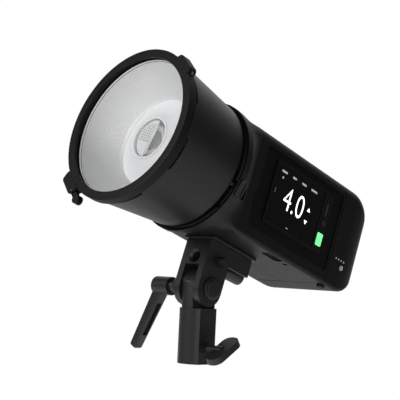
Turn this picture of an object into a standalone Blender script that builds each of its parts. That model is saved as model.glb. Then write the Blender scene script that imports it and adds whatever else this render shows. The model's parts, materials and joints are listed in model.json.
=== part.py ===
"""Monolight strobe on a tilting stand bracket.

The world origin is the centre of the receiver's open bottom end, +Z is up and the light leaves towards -Y.
The head is laid out in its own optical frame: x across the head (+x is the display side), y backwards from
the front face of the accessory ring, and z up from the light axis. Two empties carry that frame: tilt_axis
turns it about the bracket's pivot, and optical_frame sets its origin on the ring's face.
"""
import math

import bmesh
import bpy
from mathutils import Matrix, Vector

MM = 0.001
GAP = 0.3 * MM                      # clearance between pieces that touch
TILT_REST = math.radians(19.0)      # upward tilt of the head
COLLECTION_NAME = "monolight_strobe"

# Receiver for the stand stud
PIVOT_HEIGHT = 61.8 * MM
RECEIVER_R = 15.2 * MM
RECEIVER_FLATS = 24.0 * MM          # width across the two flats
RECEIVER_SHOULDER = 45.3 * MM
STUD_BORE_R = 8.1 * MM
STUD_BORE_DEPTH = 38.0 * MM
TONGUE_WIDTH = 12.6 * MM
TONGUE_STEP = 0.8 * MM              # the tongue is this much slimmer than the receiver
CLAMP_HEIGHT = 12.4 * MM
CLAMP_STUD_R = 2.4 * MM
CLAMP_BOSS_R = 5.4 * MM
WING_SPAN = 33.0 * MM
WING_DEPTH = 16.0 * MM
WING_ANGLE = math.radians(32.0)

# Pivot and lever
PIVOT_R = 4.0 * MM
PIVOT_HEAD_LEDGE = 5.2 * MM          # the disc head stands this far out from the bolt
FRICTION_WASHER = 1.0 * MM
FRICTION_WASHER_LEDGE = 7.6 * MM
LEVER_HUB_WALL = 3.8 * MM
LEVER_HUB_LENGTH = 18.2 * MM
LEVER_ARM_LENGTH = 62.0 * MM
LEVER_SPLAY = math.radians(30.0)
BOSS_LENGTH = 10.2 * MM
SPACER_LENGTH = 6.8 * MM
SPACER_WALL = 0.9 * MM

# Bracket, in the optical frame
PIVOT_SETBACK = 24.2 * MM           # from the casing's front edge back to the pivot
EAR_WIDTH = 28.0 * MM               # over both ears
EAR_FRONT = 15.3 * MM               # from the pivot forward to the bracket's front face
EAR_BACK = 12.3 * MM
EAR_DROP = 15.4 * MM                # from the pivot down to the ears' round ends
BRACKET_LENGTH = 52.6 * MM
BRACKET_BLOCK = 14.6 * MM           # height of the rear block
SLOT_CLEARANCE = 1.0 * MM           # over the tongue's round end
PLATE_WIDTH = 34.6 * MM
PLATE_THICK = 2.3 * MM
UMBRELLA_BORE_R = 4.3 * MM
UMBRELLA_OVER_SLOT = 7.3 * MM       # from the slot's roof up to the umbrella bore
UMBRELLA_TO_BODY = 17.8 * MM        # from the umbrella bore up to the body's underside
UMBRELLA_DROOP = math.radians(1.3)  # the bore falls towards the front, so a shaft clears the accessory ring
UMBRELLA_TUBE_WALL = 1.9 * MM
UMBRELLA_TUBE_END = 41.5 * MM       # behind the pivot
LOCK_STUD_R = 2.4 * MM
LOCK_KNOB_R = 4.6 * MM
LOCK_KNOB_LENGTH = 8.2 * MM

# Reflector and accessory ring
RING_R = 65.0 * MM
RING_FACE_WIDTH = 5.8 * MM
RING_FACE = 2.6 * MM
RING_DEPTH = 8.4 * MM
SKIRT_NECK = 2.7 * MM               # the skirt's neck is this much smaller than the ring
SKIRT_STEP = 1.7 * MM               # the skirt's front is this much smaller than the ring
SKIRT_INSET = 2.4 * MM              # the skirt's rear is this much smaller than the collar
SKIRT_WALL = 1.5 * MM
SKIRT_END = 77.3 * MM
SKIRT_ROLL = 3.4 * MM
SLOT_COUNT = 7
SLOT_LENGTH = 27.0 * MM
SLOT_WIDTH = 2.4 * MM
SLOT_PHASE = math.radians(-22.0)
DISH_LIP_Y = 5.6 * MM
DISH_BACK_Y = 35.4 * MM
DISH_LEDGE = 0.8 * MM               # the dish's back is this much larger than the lamp
DISH_WALL = 0.9 * MM
BAYONET_WALL = 4.2 * MM
BAYONET_CLEARANCE = 2.7 * MM        # around the lamp housing
LATCH_ANGLE = math.radians(-133.5)
LATCH_LENGTH = 23.0 * MM
LATCH_HEIGHT = 8.4 * MM
LUG_ANGLE = math.radians(48.0)
LUG_LENGTH = 22.0 * MM
LUG_HEIGHT = 3.6 * MM

# Lamp
LAMP_R = 38.8 * MM
LAMP_WALL = 2.0 * MM
LAMP_TAIL_CLEARANCE = 1.8 * MM      # between the housing's tail and the wall above it
PLATE_SETBACK = 0.4 * MM            # behind the dish's back edge
DOME_R = 18.2 * MM
DOME_RISE = 10.0 * MM               # in front of the plate
DOME_WALL = 1.6 * MM
TUBE_RING_R = 10.8 * MM
TUBE_R = 2.5 * MM

# Mount
MOUNT_SETBACK = 3.9 * MM            # behind the skirt
MOUNT_THICK = 4.4 * MM
MOUNT_SCREW_INSET = 6.1 * MM        # the screws' circle is this much larger than the bayonet
MOUNT_SCREW_R = 1.9 * MM
MOUNT_SCREW_ANGLES = [math.radians(a) for a in (37.0, 141.0, 219.0, 319.0)]
RELEASE_ANGLE = math.radians(-19.0)
RELEASE_WIDTH = 14.0 * MM
RELEASE_LENGTH = 12.4 * MM
RELEASE_TRAVEL = 3.0 * MM
RELEASE_SLOPE = math.radians(19.0)  # the slider leans with the collar's flank
LOCK_PIN_R = 1.7 * MM

# Body
COLLAR_REACH = 12.3 * MM            # the collar is this much larger than the bayonet
COLLAR_WALL = 2.4 * MM
COLLAR_LIP = 0.4 * MM               # in front of the mount ring
COLLAR_LENGTH = 20.0 * MM
COLLAR_ROUND = 5.0 * MM             # the collar stays round for this much of its length
COLLAR_SIDE_POINTS = 5              # points along each flat side
BODY_LENGTH = 117.6 * MM
BODY_WALL = 2.5 * MM
HALF_WIDTH = 48.0 * MM
BODY_TOP = 43.0 * MM
BODY_BOTTOM = 49.5 * MM
CORNER_NEAR_TOP = 12.0 * MM
CORNER_FAR_TOP = 18.0 * MM
CORNER_FAR_BOTTOM = 21.0 * MM
CORNER_NEAR_BOTTOM = 3.2 * MM
BATTERY_LENGTH = 41.0 * MM
BATTERY_END_DEPTH = 26.0 * MM       # length over which the rear rounds off
BATTERY_END_RISE = 24.0 * MM        # drawn in by this much at the top and the bottom
BATTERY_END_SIDE = 9.0 * MM         # and at the sides

# Side panel, screen and controls
PANEL_SETBACK = 9.2 * MM            # from the casing's front edge
PANEL_TAIL = 2.2 * MM               # casing left behind the panel
PANEL_FROM_BOTTOM = 10.7 * MM
PANEL_FROM_TOP = 12.2 * MM
PANEL_RECESS = 0.8 * MM
PANEL_THICK = 2.0 * MM
SCREEN_SETBACK = 16.7 * MM          # from the panel's front edge
SCREEN_FROM_LOW = 11.5 * MM         # from the panel's edges
SCREEN_FROM_HIGH = 7.1 * MM
BEZEL_WIDTH = 1.8 * MM
STRIP_LENGTH = 10.0 * MM
STRIP_TAIL = 12.9 * MM              # panel left behind the strip
TEST_BUTTON = (7.0 * MM, 11.0 * MM)
TEST_BUTTON_RISE = 10.3 * MM        # from the screen's lower edge
POWER_BUTTON_R = 2.9 * MM
POWER_BUTTON_RISE = 24.7 * MM
BUTTON_DEPTH = 3.8 * MM
WINDOW_RISE = 20.8 * MM             # from the panel's lower edge
WINDOW_SIZE = (5.2 * MM, 14.0 * MM)
PORT_SETBACK = 45.5 * MM            # from the casing's front edge
PORT_SIZE = (9.2 * MM, 20.8 * MM)
PORT_INSET = 8.0 * MM
JACK_SETBACK = 4.6 * MM
JACK_R = 2.0 * MM
DATA_PORT = (3.4 * MM, 9.2 * MM)

# Battery controls
GAUGE_RISE = 15.8 * MM              # from the height of the panel's lower edge
GAUGE_PITCH = 3.7 * MM
GAUGE_SETBACK = 7.6 * MM            # from the battery's front edge
GAUGE_DOTS = 4
GAUGE_DOT_R = 0.7 * MM
CHECK_BUTTON_R = 2.3 * MM
CHECK_BUTTON_RISE = 9.8 * MM
LATCH_BUTTON_R = 3.6 * MM
LATCH_BUTTON_INSET = 7.0 * MM

# Internals
CAPACITOR_R = 15.0 * MM
CAPACITOR_TO_FAN = 18.6 * MM
FAN_SIZE = 60.0 * MM
FAN_DEPTH = 15.0 * MM
FAN_Z = -2.0 * MM
CELL_PACK = (66.0 * MM, 19.0 * MM, 76.0 * MM)

# Sizes and places worked out from the sizes above
RING_LIP_R = RING_R - RING_FACE_WIDTH
BAYONET_R = LAMP_R + BAYONET_CLEARANCE + BAYONET_WALL
DISH_BACK_R = LAMP_R + DISH_LEDGE
MOUNT_SCREW_RING_R = BAYONET_R + MOUNT_SCREW_INSET
COLLAR_R = BAYONET_R + COLLAR_REACH
SKIRT_FRONT_R = RING_R - SKIRT_STEP
SKIRT_REAR_R = COLLAR_R - SKIRT_INSET
PIVOT_HEAD_R = PIVOT_R + PIVOT_HEAD_LEDGE
FRICTION_WASHER_R = PIVOT_R + FRICTION_WASHER_LEDGE
LEVER_HUB_R = PIVOT_R + LEVER_HUB_WALL
SPACER_R = PIVOT_R + GAP + SPACER_WALL
UMBRELLA_TUBE_R = UMBRELLA_BORE_R + UMBRELLA_TUBE_WALL
TONGUE_R = RECEIVER_R - TONGUE_STEP
TONGUE_END_R = TONGUE_R + 0.4 * MM
SLOT_ROOF = TONGUE_END_R + SLOT_CLEARANCE             # from the pivot up
UMBRELLA_RISE = SLOT_ROOF + UMBRELLA_OVER_SLOT        # from the pivot up
LAMP_TAIL_R = BODY_TOP - COLLAR_WALL - LAMP_TAIL_CLEARANCE
AXIS_RISE = UMBRELLA_RISE + UMBRELLA_TO_BODY + BODY_BOTTOM
PLATE_FACE_Y = DISH_BACK_Y + PLATE_SETBACK
DOME_FRONT_Y = PLATE_FACE_Y - DOME_RISE
MOUNT_FACE_Y = SKIRT_END + MOUNT_SETBACK
COLLAR_FRONT_Y = MOUNT_FACE_Y - COLLAR_LIP
COLLAR_END_Y = COLLAR_FRONT_Y + COLLAR_LENGTH
BODY_START_Y = COLLAR_END_Y + GAP
RING_TO_PIVOT = BODY_START_Y + PIVOT_SETBACK
RELEASE_FRONT_Y = COLLAR_FRONT_Y + 1.6 * MM
RELEASE_R = COLLAR_R - 2.9 * MM
BODY_END_Y = BODY_START_Y + BODY_LENGTH
BATTERY_START_Y = BODY_END_Y + 2 * GAP
BATTERY_END_Y = BATTERY_START_Y + BATTERY_LENGTH
PANEL_FRONT_Y = BODY_START_Y + PANEL_SETBACK
PANEL_END_Y = BODY_END_Y - PANEL_TAIL
PANEL_FACE_X = HALF_WIDTH - PANEL_RECESS
SCREEN_FRONT_Y = PANEL_FRONT_Y + SCREEN_SETBACK
STRIP_FRONT_Y = PANEL_END_Y - STRIP_TAIL - STRIP_LENGTH
SCREEN_END_Y = STRIP_FRONT_Y - GAP - BEZEL_WIDTH - GAP
PANEL_LOW = PANEL_FROM_BOTTOM - BODY_BOTTOM
PANEL_HIGH = BODY_TOP - PANEL_FROM_TOP
SCREEN_LOW = PANEL_LOW + SCREEN_FROM_LOW
SCREEN_HIGH = PANEL_HIGH - SCREEN_FROM_HIGH
BUTTON_Y = STRIP_FRONT_Y + STRIP_LENGTH / 2
TEST_BUTTON_Z = SCREEN_LOW + TEST_BUTTON_RISE
POWER_BUTTON_Z = SCREEN_LOW + POWER_BUTTON_RISE
WINDOW_Z = PANEL_LOW + WINDOW_RISE
PORT_FRONT_Y = BODY_START_Y + PORT_SETBACK
PORT_X = HALF_WIDTH - PORT_INSET
GAUGE_Z = PANEL_LOW + GAUGE_RISE
CHECK_BUTTON_Z = PANEL_LOW + CHECK_BUTTON_RISE
LATCH_BUTTON_X = HALF_WIDTH - LATCH_BUTTON_INSET
PIVOT_Z = -AXIS_RISE                # pivot height in the optical frame
BRACKET_TOP_Z = -BODY_BOTTOM - GAP - PLATE_THICK - GAP
BRACKET_FRONT_Y = RING_TO_PIVOT - EAR_FRONT
EAR_X = EAR_WIDTH / 2
UMBRELLA_Z = PIVOT_Z + UMBRELLA_RISE

# Colour, roughness, metallic
LOOKS = {
    "body": ((0.030, 0.031, 0.034), 0.55, 0.0),
    "black": ((0.018, 0.018, 0.020), 0.50, 0.0),
    "skirt": ((0.022, 0.022, 0.023), 0.38, 0.3),
    "bracket": ((0.045, 0.046, 0.050), 0.48, 0.4),
    "silver": ((0.86, 0.86, 0.87), 0.30, 1.0),
    "white": ((0.90, 0.90, 0.90), 0.40, 0.0),
    "glass": ((0.85, 0.88, 0.90), 0.05, 0.0),
    "screen": ((0.008, 0.009, 0.012), 0.08, 0.0),
    "green": ((0.15, 0.85, 0.25), 0.35, 0.0),
    "light_grey": ((0.55, 0.56, 0.58), 0.40, 0.0),
    "steel": ((0.62, 0.62, 0.64), 0.28, 1.0),
    "board": ((0.03, 0.16, 0.08), 0.50, 0.0),
    "ceramic": ((0.85, 0.84, 0.80), 0.60, 0.0),
    "sleeve": ((0.05, 0.07, 0.20), 0.35, 0.0),
    "aluminium": ((0.70, 0.71, 0.72), 0.40, 1.0),
}


def clear_scene():
    """Remove every object, so that the file starts empty."""
    for obj in list(bpy.data.objects):
        bpy.data.objects.remove(obj, do_unlink=True)


def new_collection(name):
    """Add a collection to the scene."""
    collection = bpy.data.collections.new(name)
    bpy.context.scene.collection.children.link(collection)
    return collection


def new_empty(name, parent, location, tilt=0.0):
    """Add an empty that carries a frame or a joint axis."""
    empty = bpy.data.objects.new(name, None)
    empty.empty_display_size = 20 * MM
    empty.parent = parent
    empty.location = location
    empty.rotation_euler = (tilt, 0.0, 0.0)
    parts_collection.objects.link(empty)
    return empty


def paint(obj, look):
    """Give a part its own Principled material."""
    colour, roughness, metallic = LOOKS[look]
    material = bpy.data.materials.new(obj.name + "_finish")
    material.use_nodes = True
    shader = material.node_tree.nodes["Principled BSDF"]
    shader.inputs["Base Color"].default_value = (*colour, 1.0)
    shader.inputs["Roughness"].default_value = roughness
    shader.inputs["Metallic"].default_value = metallic
    obj.data.materials.append(material)


def add_part(name, mesh, look, parent, origin=(0.0, 0.0, 0.0)):
    """Link a mesh as a named part whose origin is at a point of its parent's frame."""
    obj = bpy.data.objects.new(name, mesh)
    mesh.transform(Matrix.Translation(-Vector(origin)))
    obj.location = origin
    obj.parent = parent
    parts_collection.objects.link(obj)
    paint(obj, look)
    mesh.shade_smooth()
    mesh.set_sharp_from_angle(angle=math.radians(32.0))
    return obj


def add_tool(mesh, parent):
    """Link a mesh that only cuts or joins other pieces."""
    tool = bpy.data.objects.new("tool", mesh)
    tool.parent = parent
    tool.hide_render = True
    tool.display_type = "WIRE"
    tools_collection.objects.link(tool)
    return tool


def boolean(target, operation, mesh, parent):
    """Cut, join or intersect a part with a tool mesh."""
    modifier = target.modifiers.new(operation.lower(), "BOOLEAN")
    modifier.operation = operation
    modifier.object = add_tool(mesh, parent)


def cut(target, parent, *meshes):
    """Cut each tool mesh from a part."""
    for mesh in meshes:
        boolean(target, "DIFFERENCE", mesh, parent)


def join(target, parent, *meshes):
    """Join each tool mesh to a part."""
    for mesh in meshes:
        boolean(target, "UNION", mesh, parent)


def mesh_from(bm, name="shape"):
    """Turn a bmesh into a mesh with outward faces."""
    bmesh.ops.recalc_face_normals(bm, faces=bm.faces)
    mesh = bpy.data.meshes.new(name)
    bm.to_mesh(mesh)
    bm.free()
    return mesh


def block(low, high, rounded=None, radius=0.0, steps=3):
    """Box between two corners, with the edges along one axis rounded if asked."""
    low, high = Vector(low), Vector(high)
    size = high - low
    place = Matrix.Translation((low + high) / 2) @ Matrix.Diagonal((*size, 1.0))
    bm = bmesh.new()
    bmesh.ops.create_cube(bm, size=1.0, matrix=place)
    if rounded is not None:
        edges = [e for e in bm.edges if abs((e.verts[0].co - e.verts[1].co)[rounded]) > size[rounded] / 2]
        bmesh.ops.bevel(bm, geom=edges, offset=radius, segments=steps, profile=0.5, affect="EDGES")
    return mesh_from(bm)


def rod(radius, start, end, sides=24, end_radius=None):
    """Cylinder or cone frustum between two points."""
    start, end = Vector(start), Vector(end)
    axis = end - start
    turn = Vector((0.0, 0.0, 1.0)).rotation_difference(axis).to_matrix().to_4x4()
    bm = bmesh.new()
    bmesh.ops.create_cone(
        bm, cap_ends=True, segments=sides, radius1=radius,
        radius2=radius if end_radius is None else end_radius, depth=axis.length,
        matrix=Matrix.Translation((start + end) / 2) @ turn,
    )
    return mesh_from(bm)


def polar(mesh, angle):
    """Turn a mesh made at +x about the light axis, towards +z."""
    mesh.transform(Matrix.Rotation(-angle, 4, "Y"))
    return mesh


def arc(centre, radius, start, end, steps):
    """Points along an arc in a plane, angles in degrees."""
    angles = [math.radians(start + (end - start) * i / steps) for i in range(steps + 1)]
    return [(centre[0] + radius * math.cos(a), centre[1] + radius * math.sin(a)) for a in angles]


def turned(name, profile, look, parent, steps=48, closed=True, axis_x=False):
    """Turned piece from (radius, distance) points. Distance runs along +y, or along +x with axis_x."""
    area = sum(a[0] * b[1] - b[0] * a[1] for a, b in zip(profile, profile[1:] + profile[:1]))
    points = profile if area < 0 else profile[::-1]
    mesh = bpy.data.meshes.new(name)
    edges = [(i, i + 1) for i in range(len(points) - 1)]
    if closed:
        edges.append((len(points) - 1, 0))
    mesh.from_pydata([(r, 0.0, h) for r, h in points], edges, [])
    obj = add_part(name, mesh, look, parent)
    obj.rotation_euler = (0.0, math.pi / 2, 0.0) if axis_x else (-math.pi / 2, 0.0, 0.0)
    screw = obj.modifiers.new("turn", "SCREW")
    screw.axis = "Z"
    screw.steps = steps
    screw.render_steps = steps
    screw.use_merge_vertices = True
    screw.merge_threshold = 0.00001
    return obj


def outline(points, thickness):
    """Flat outline in the y-z plane, extruded to both sides of x = 0, as a mesh."""
    curve = bpy.data.curves.new("outline", "CURVE")
    curve.dimensions = "2D"
    curve.fill_mode = "BOTH"
    curve.extrude = thickness / 2
    spline = curve.splines.new("POLY")
    spline.points.add(len(points) - 1)
    for point, (y, z) in zip(spline.points, points):
        point.co = (y, z, 0.0, 1.0)
    spline.use_cyclic_u = True
    source = bpy.data.objects.new("outline", curve)
    bpy.context.scene.collection.objects.link(source)
    graph = bpy.context.evaluated_depsgraph_get()
    mesh = bpy.data.meshes.new_from_object(source.evaluated_get(graph))
    bpy.data.objects.remove(source, do_unlink=True)
    bm = bmesh.new()
    bm.from_mesh(mesh)
    bmesh.ops.remove_doubles(bm, verts=bm.verts, dist=0.000001)
    stand_up = Matrix(((0, 0, 1, 0), (1, 0, 0, 0), (0, 1, 0, 0), (0, 0, 0, 1)))
    bmesh.ops.transform(bm, matrix=stand_up, verts=bm.verts)
    return mesh_from(bm)


def section(inset=0.0, corner_steps=5, side_steps=0):
    """Body section as (x, z) points: a rounded rectangle, each corner with its own radius."""
    corners = [
        (HALF_WIDTH, BODY_TOP, CORNER_NEAR_TOP, 0),
        (-HALF_WIDTH, BODY_TOP, CORNER_FAR_TOP, 90),
        (-HALF_WIDTH, -BODY_BOTTOM, CORNER_FAR_BOTTOM, 180),
        (HALF_WIDTH, -BODY_BOTTOM, CORNER_NEAR_BOTTOM, 270),
    ]
    arcs = []
    for x, z, radius, start in corners:
        centre = (x - math.copysign(radius, x), z - math.copysign(radius, z))
        rounded = max(radius - inset, 0.4 * MM)
        reach = max(inset - radius, 0.0) + 0.4 * MM if inset > radius else 0.0
        centre = (centre[0] - math.copysign(reach, x), centre[1] - math.copysign(reach, z))
        arcs.append(arc(centre, rounded, start, start + 90, corner_steps))
    points = []
    for here, following in zip(arcs, arcs[1:] + arcs[:1]):
        points += here
        first, last = Vector(here[-1]), Vector(following[0])
        points += [tuple(first.lerp(last, i / (side_steps + 1))) for i in range(1, side_steps + 1)]
    return points


def loft(rings, cap_end=False):
    """Surface through rings of equally many points, as an open mesh."""
    bm = bmesh.new()
    rows = [[bm.verts.new(point) for point in ring] for ring in rings]
    for front, back in zip(rows, rows[1:]):
        for i, vert in enumerate(front):
            j = (i + 1) % len(front)
            bm.faces.new((vert, front[j], back[j], back[i]))
    if cap_end:
        bm.faces.new(rows[-1])
    return mesh_from(bm)


def shell(name, mesh, wall, look, parent):
    """Part made from an open surface with a wall grown inwards."""
    obj = add_part(name, mesh, look, parent)
    solid = obj.modifiers.new("wall", "SOLIDIFY")
    solid.thickness = wall
    solid.offset = -1.0
    solid.use_even_offset = True
    return obj


def body_ring(y, inset=0.0):
    """One ring of the body's own section."""
    return [(x, y, z) for x, z in section(inset)]


def collar_ring(y, radius, squareness):
    """One ring between a circle and the body's section."""
    ring = []
    for x, z in section(side_steps=COLLAR_SIDE_POINTS):
        length = math.hypot(x, z)
        round_x, round_z = x / length * radius, z / length * radius
        ring.append((round_x + (x - round_x) * squareness, y, round_z + (z - round_z) * squareness))
    return ring


def side_slab(name, y_range, z_range, x_range, radius, look, parent):
    """Flat rounded plate on the display side."""
    low = (x_range[0], y_range[0], z_range[0])
    high = (x_range[1], y_range[1], z_range[1])
    return add_part(name, block(low, high, 0, radius), look, parent)


def make_accessory_ring(frame):
    """Clamp ring on the reflector's rim, with its latch block and hinge lug."""
    face_edge = 0.8 * MM
    bore_r = RING_R - SKIRT_NECK + GAP
    ring = turned("accessory_ring", [
        (RING_LIP_R, 0.0), (RING_R - face_edge, 0.0), (RING_R, face_edge), (RING_R, RING_DEPTH),
        (bore_r, RING_DEPTH), (bore_r, RING_FACE), (RING_LIP_R, RING_FACE),
    ], "black", frame)
    root = RING_R - 1.0 * MM
    lug_low = (root, 0.6 * MM, -LUG_LENGTH / 2)
    lug_high = (RING_R + LUG_HEIGHT, RING_DEPTH - 0.4 * MM, LUG_LENGTH / 2)
    latch_low = (root, 0.6 * MM, -LATCH_LENGTH / 2)
    latch_high = (RING_R + LATCH_HEIGHT, RING_DEPTH - 0.4 * MM, LATCH_LENGTH / 2)
    lug = block(lug_low, lug_high, 1, 3.0 * MM)
    latch = block(latch_low, latch_high, 1, 2.6 * MM)
    join(ring, frame, polar(lug, LUG_ANGLE), polar(latch, LATCH_ANGLE))
    slot_low = (RING_R + 0.8 * MM, 2.3 * MM, LATCH_LENGTH / 2 - 7.6 * MM)
    slot_high = (RING_R + 2 * LATCH_HEIGHT, 5.9 * MM, LATCH_LENGTH)
    cut(ring, frame, polar(block(slot_low, slot_high), LATCH_ANGLE))
    x, z = RING_R + 4.6 * MM, LATCH_LENGTH / 2 - 3.2 * MM
    cut(ring, frame, polar(rod(1.3 * MM, (x, -GAP, z), (x, RING_DEPTH + GAP, z), 12), LATCH_ANGLE))
    pin = rod(1.0 * MM, (x, 0.8 * MM, z), (x, RING_DEPTH - 0.6 * MM, z), 12)
    add_part("latch_pin", polar(pin, LATCH_ANGLE), "steel", frame)
    make_latch_lever(frame, x, z)


def make_latch_lever(frame, x, z):
    """Small lever in the latch block's slot. Its origin is on its pin."""
    radius = 2.4 * MM
    reach = 10.2 * MM
    arm = block((x - radius, 2.6 * MM, z - radius), (x + radius, 5.6 * MM, z + reach), 1, 2.0 * MM)
    tip = rod(3.1 * MM, (x, 1.2 * MM, z + reach), (x, RING_DEPTH - 1.4 * MM, z + reach), 20)
    hole = rod(1.3 * MM, (x, 0.0, z), (x, RING_DEPTH, z), 12)
    axis = Matrix.Rotation(-LATCH_ANGLE, 4, "Y") @ Vector((x, RING_DEPTH / 2, z))
    lever = add_part("latch_lever", polar(arm, LATCH_ANGLE), "black", frame, axis)
    join(lever, frame, polar(tip, LATCH_ANGLE))
    cut(lever, frame, polar(hole, LATCH_ANGLE))


def make_reflector(frame):
    """Slotted conical skirt, the silver dish inside it and the bayonet ring behind it."""
    neck_r = RING_R - SKIRT_NECK
    neck_y = RING_FACE + GAP
    step_y = RING_DEPTH + GAP
    wall = SKIRT_WALL
    bore = BAYONET_R + GAP
    roll_centre = (SKIRT_REAR_R - SKIRT_ROLL, SKIRT_END - SKIRT_ROLL)
    roll = arc(roll_centre, SKIRT_ROLL, 0, 90, 3)
    outer = [(neck_r, neck_y), (neck_r, step_y), (SKIRT_FRONT_R, step_y), *roll]
    rear = [(bore, SKIRT_END), (bore, SKIRT_END - wall)]
    inner = [*arc(roll_centre, SKIRT_ROLL - wall, 90, 0, 2), (SKIRT_FRONT_R - wall, step_y + wall),
             (neck_r - wall, step_y), (neck_r - wall, neck_y)]
    skirt = turned("reflector_skirt", outer + rear + inner, "skirt", frame)
    for i in range(SLOT_COUNT):
        low = (SKIRT_FRONT_R - 5 * wall, step_y - SLOT_WIDTH / 4, -SLOT_LENGTH / 2)
        high = (SKIRT_FRONT_R + wall, step_y + SLOT_WIDTH, SLOT_LENGTH / 2)
        cut(skirt, frame, polar(block(low, high), SLOT_PHASE + i * math.tau / SLOT_COUNT))
    make_dish(frame, neck_r - SKIRT_WALL - GAP)
    make_bayonet(frame)


def make_dish(frame, rim_r):
    """Silver dish: a flat rolled rim and a bowl that narrows to the lamp's plate."""
    steps = 4
    rim_inner = rim_r - 1.8 * MM
    bowl = []
    for i in range(steps + 1):
        share = i / steps
        bulge = 1.6 * MM * math.sin(math.pi * share)
        radius = rim_inner + (DISH_BACK_R - rim_inner) * share + bulge
        bowl.append((radius, DISH_LIP_Y + (DISH_BACK_Y - DISH_LIP_Y) * share))
    back = [(radius + DISH_WALL, y + DISH_WALL) for radius, y in reversed(bowl)]
    profile = [(rim_r, DISH_LIP_Y), *bowl, *back, (rim_r, DISH_LIP_Y + DISH_WALL)]
    turned("reflector_dish", profile, "silver", frame)


def make_bayonet(frame):
    """Ring that plugs into the mount, with three lugs that hook behind it."""
    inner_r = BAYONET_R - BAYONET_WALL
    front_y = SKIRT_END - SKIRT_WALL - GAP
    flange_y = front_y - 2.0 * MM
    rear_y = MOUNT_FACE_Y + MOUNT_THICK + GAP + 2.6 * MM
    flange_r = BAYONET_R + 4.0 * MM
    ring = turned("reflector_bayonet", [
        (inner_r, flange_y), (flange_r, flange_y), (flange_r, front_y), (BAYONET_R, front_y),
        (BAYONET_R, rear_y), (inner_r, rear_y),
    ], "steel", frame, steps=40)
    for i in range(3):
        low = (inner_r + 1.0 * MM, rear_y - 2.6 * MM, -11.0 * MM)
        high = (BAYONET_R + 2.2 * MM, rear_y, 11.0 * MM)
        join(ring, frame, polar(block(low, high), math.radians(90 + 120 * i)))


def make_lamp(frame):
    """Lamp housing with its white front plate, glass dome, flash tube, LED board and socket."""
    hole_r = DOME_R + GAP
    plate_back = PLATE_FACE_Y + 2.2 * MM
    turned("front_plate", [
        (hole_r, PLATE_FACE_Y), (LAMP_R, PLATE_FACE_Y), (LAMP_R, plate_back), (hole_r, plate_back),
    ], "white", frame, steps=40)
    housing_y = plate_back + GAP
    tail_y = MOUNT_FACE_Y + MOUNT_THICK
    flange_y = tail_y + 8.0 * MM
    inner_r, tail_inner_r = LAMP_R - LAMP_WALL, LAMP_TAIL_R - LAMP_WALL
    flange_r = tail_inner_r - 7.7 * MM
    turned("lamp_housing", [
        (inner_r, housing_y), (LAMP_R, housing_y), (LAMP_R, MOUNT_FACE_Y), (LAMP_TAIL_R, tail_y),
        (LAMP_TAIL_R, flange_y + 2.5 * MM), (flange_r, flange_y + 2.5 * MM), (flange_r, flange_y),
        (tail_inner_r, flange_y), (tail_inner_r, tail_y), (inner_r, MOUNT_FACE_Y),
    ], "black", frame, steps=40)
    dome_back = housing_y + 2.2 * MM
    front, wall = DOME_FRONT_Y, DOME_WALL
    turned("glass_dome", [
        (0.0, front), (0.62 * DOME_R, front + 0.5 * MM), (DOME_R - 1.4 * MM, front + 1.6 * MM),
        (DOME_R, front + 3.2 * MM), (DOME_R, housing_y), (DOME_R + 2.4 * MM, housing_y),
        (DOME_R + 2.4 * MM, dome_back), (DOME_R - wall, dome_back), (DOME_R - wall, front + 4.2 * MM),
        (0.60 * DOME_R, front + 0.6 * MM + wall), (0.0, front + wall),
    ], "glass", frame, steps=32, closed=False)
    board_y = dome_back + GAP
    led_board = rod(DOME_R - wall, (0, board_y, 0), (0, board_y + 1.6 * MM, 0), 32)
    board = add_part("led_board", led_board, "white", frame)
    join(board, frame, block((-8 * MM, board_y - 1.2 * MM, 3 * MM), (8 * MM, board_y + 0.4 * MM, 12 * MM)))
    make_flash_tube(frame, board_y - 2.0 * MM)
    socket_y = board_y + 1.6 * MM + GAP
    socket = rod(20 * MM, (0, socket_y, 0), (0, socket_y + 14 * MM, 0), 32)
    add_part("lamp_socket", socket, "ceramic", frame)


def make_flash_tube(frame, rear_y):
    """Horseshoe flash tube: most of a ring, with a leg back from each end."""
    ring_y = DOME_FRONT_Y + DOME_WALL + 5.0 * MM
    points = [(x, ring_y, z) for x, z in arc((0.0, 0.0), TUBE_RING_R, -60, 240, 18)]
    points = [(points[0][0], rear_y, points[0][2]), *points, (points[-1][0], rear_y, points[-1][2])]
    curve = bpy.data.curves.new("flash_tube", "CURVE")
    curve.dimensions = "3D"
    curve.bevel_depth = TUBE_R
    curve.bevel_resolution = 2
    curve.use_fill_caps = True
    spline = curve.splines.new("POLY")
    spline.points.add(len(points) - 1)
    for target, point in zip(spline.points, points):
        target.co = (*point, 1.0)
    tube = bpy.data.objects.new("flash_tube", curve)
    tube.parent = frame
    parts_collection.objects.link(tube)
    paint(tube, "glass")


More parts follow.
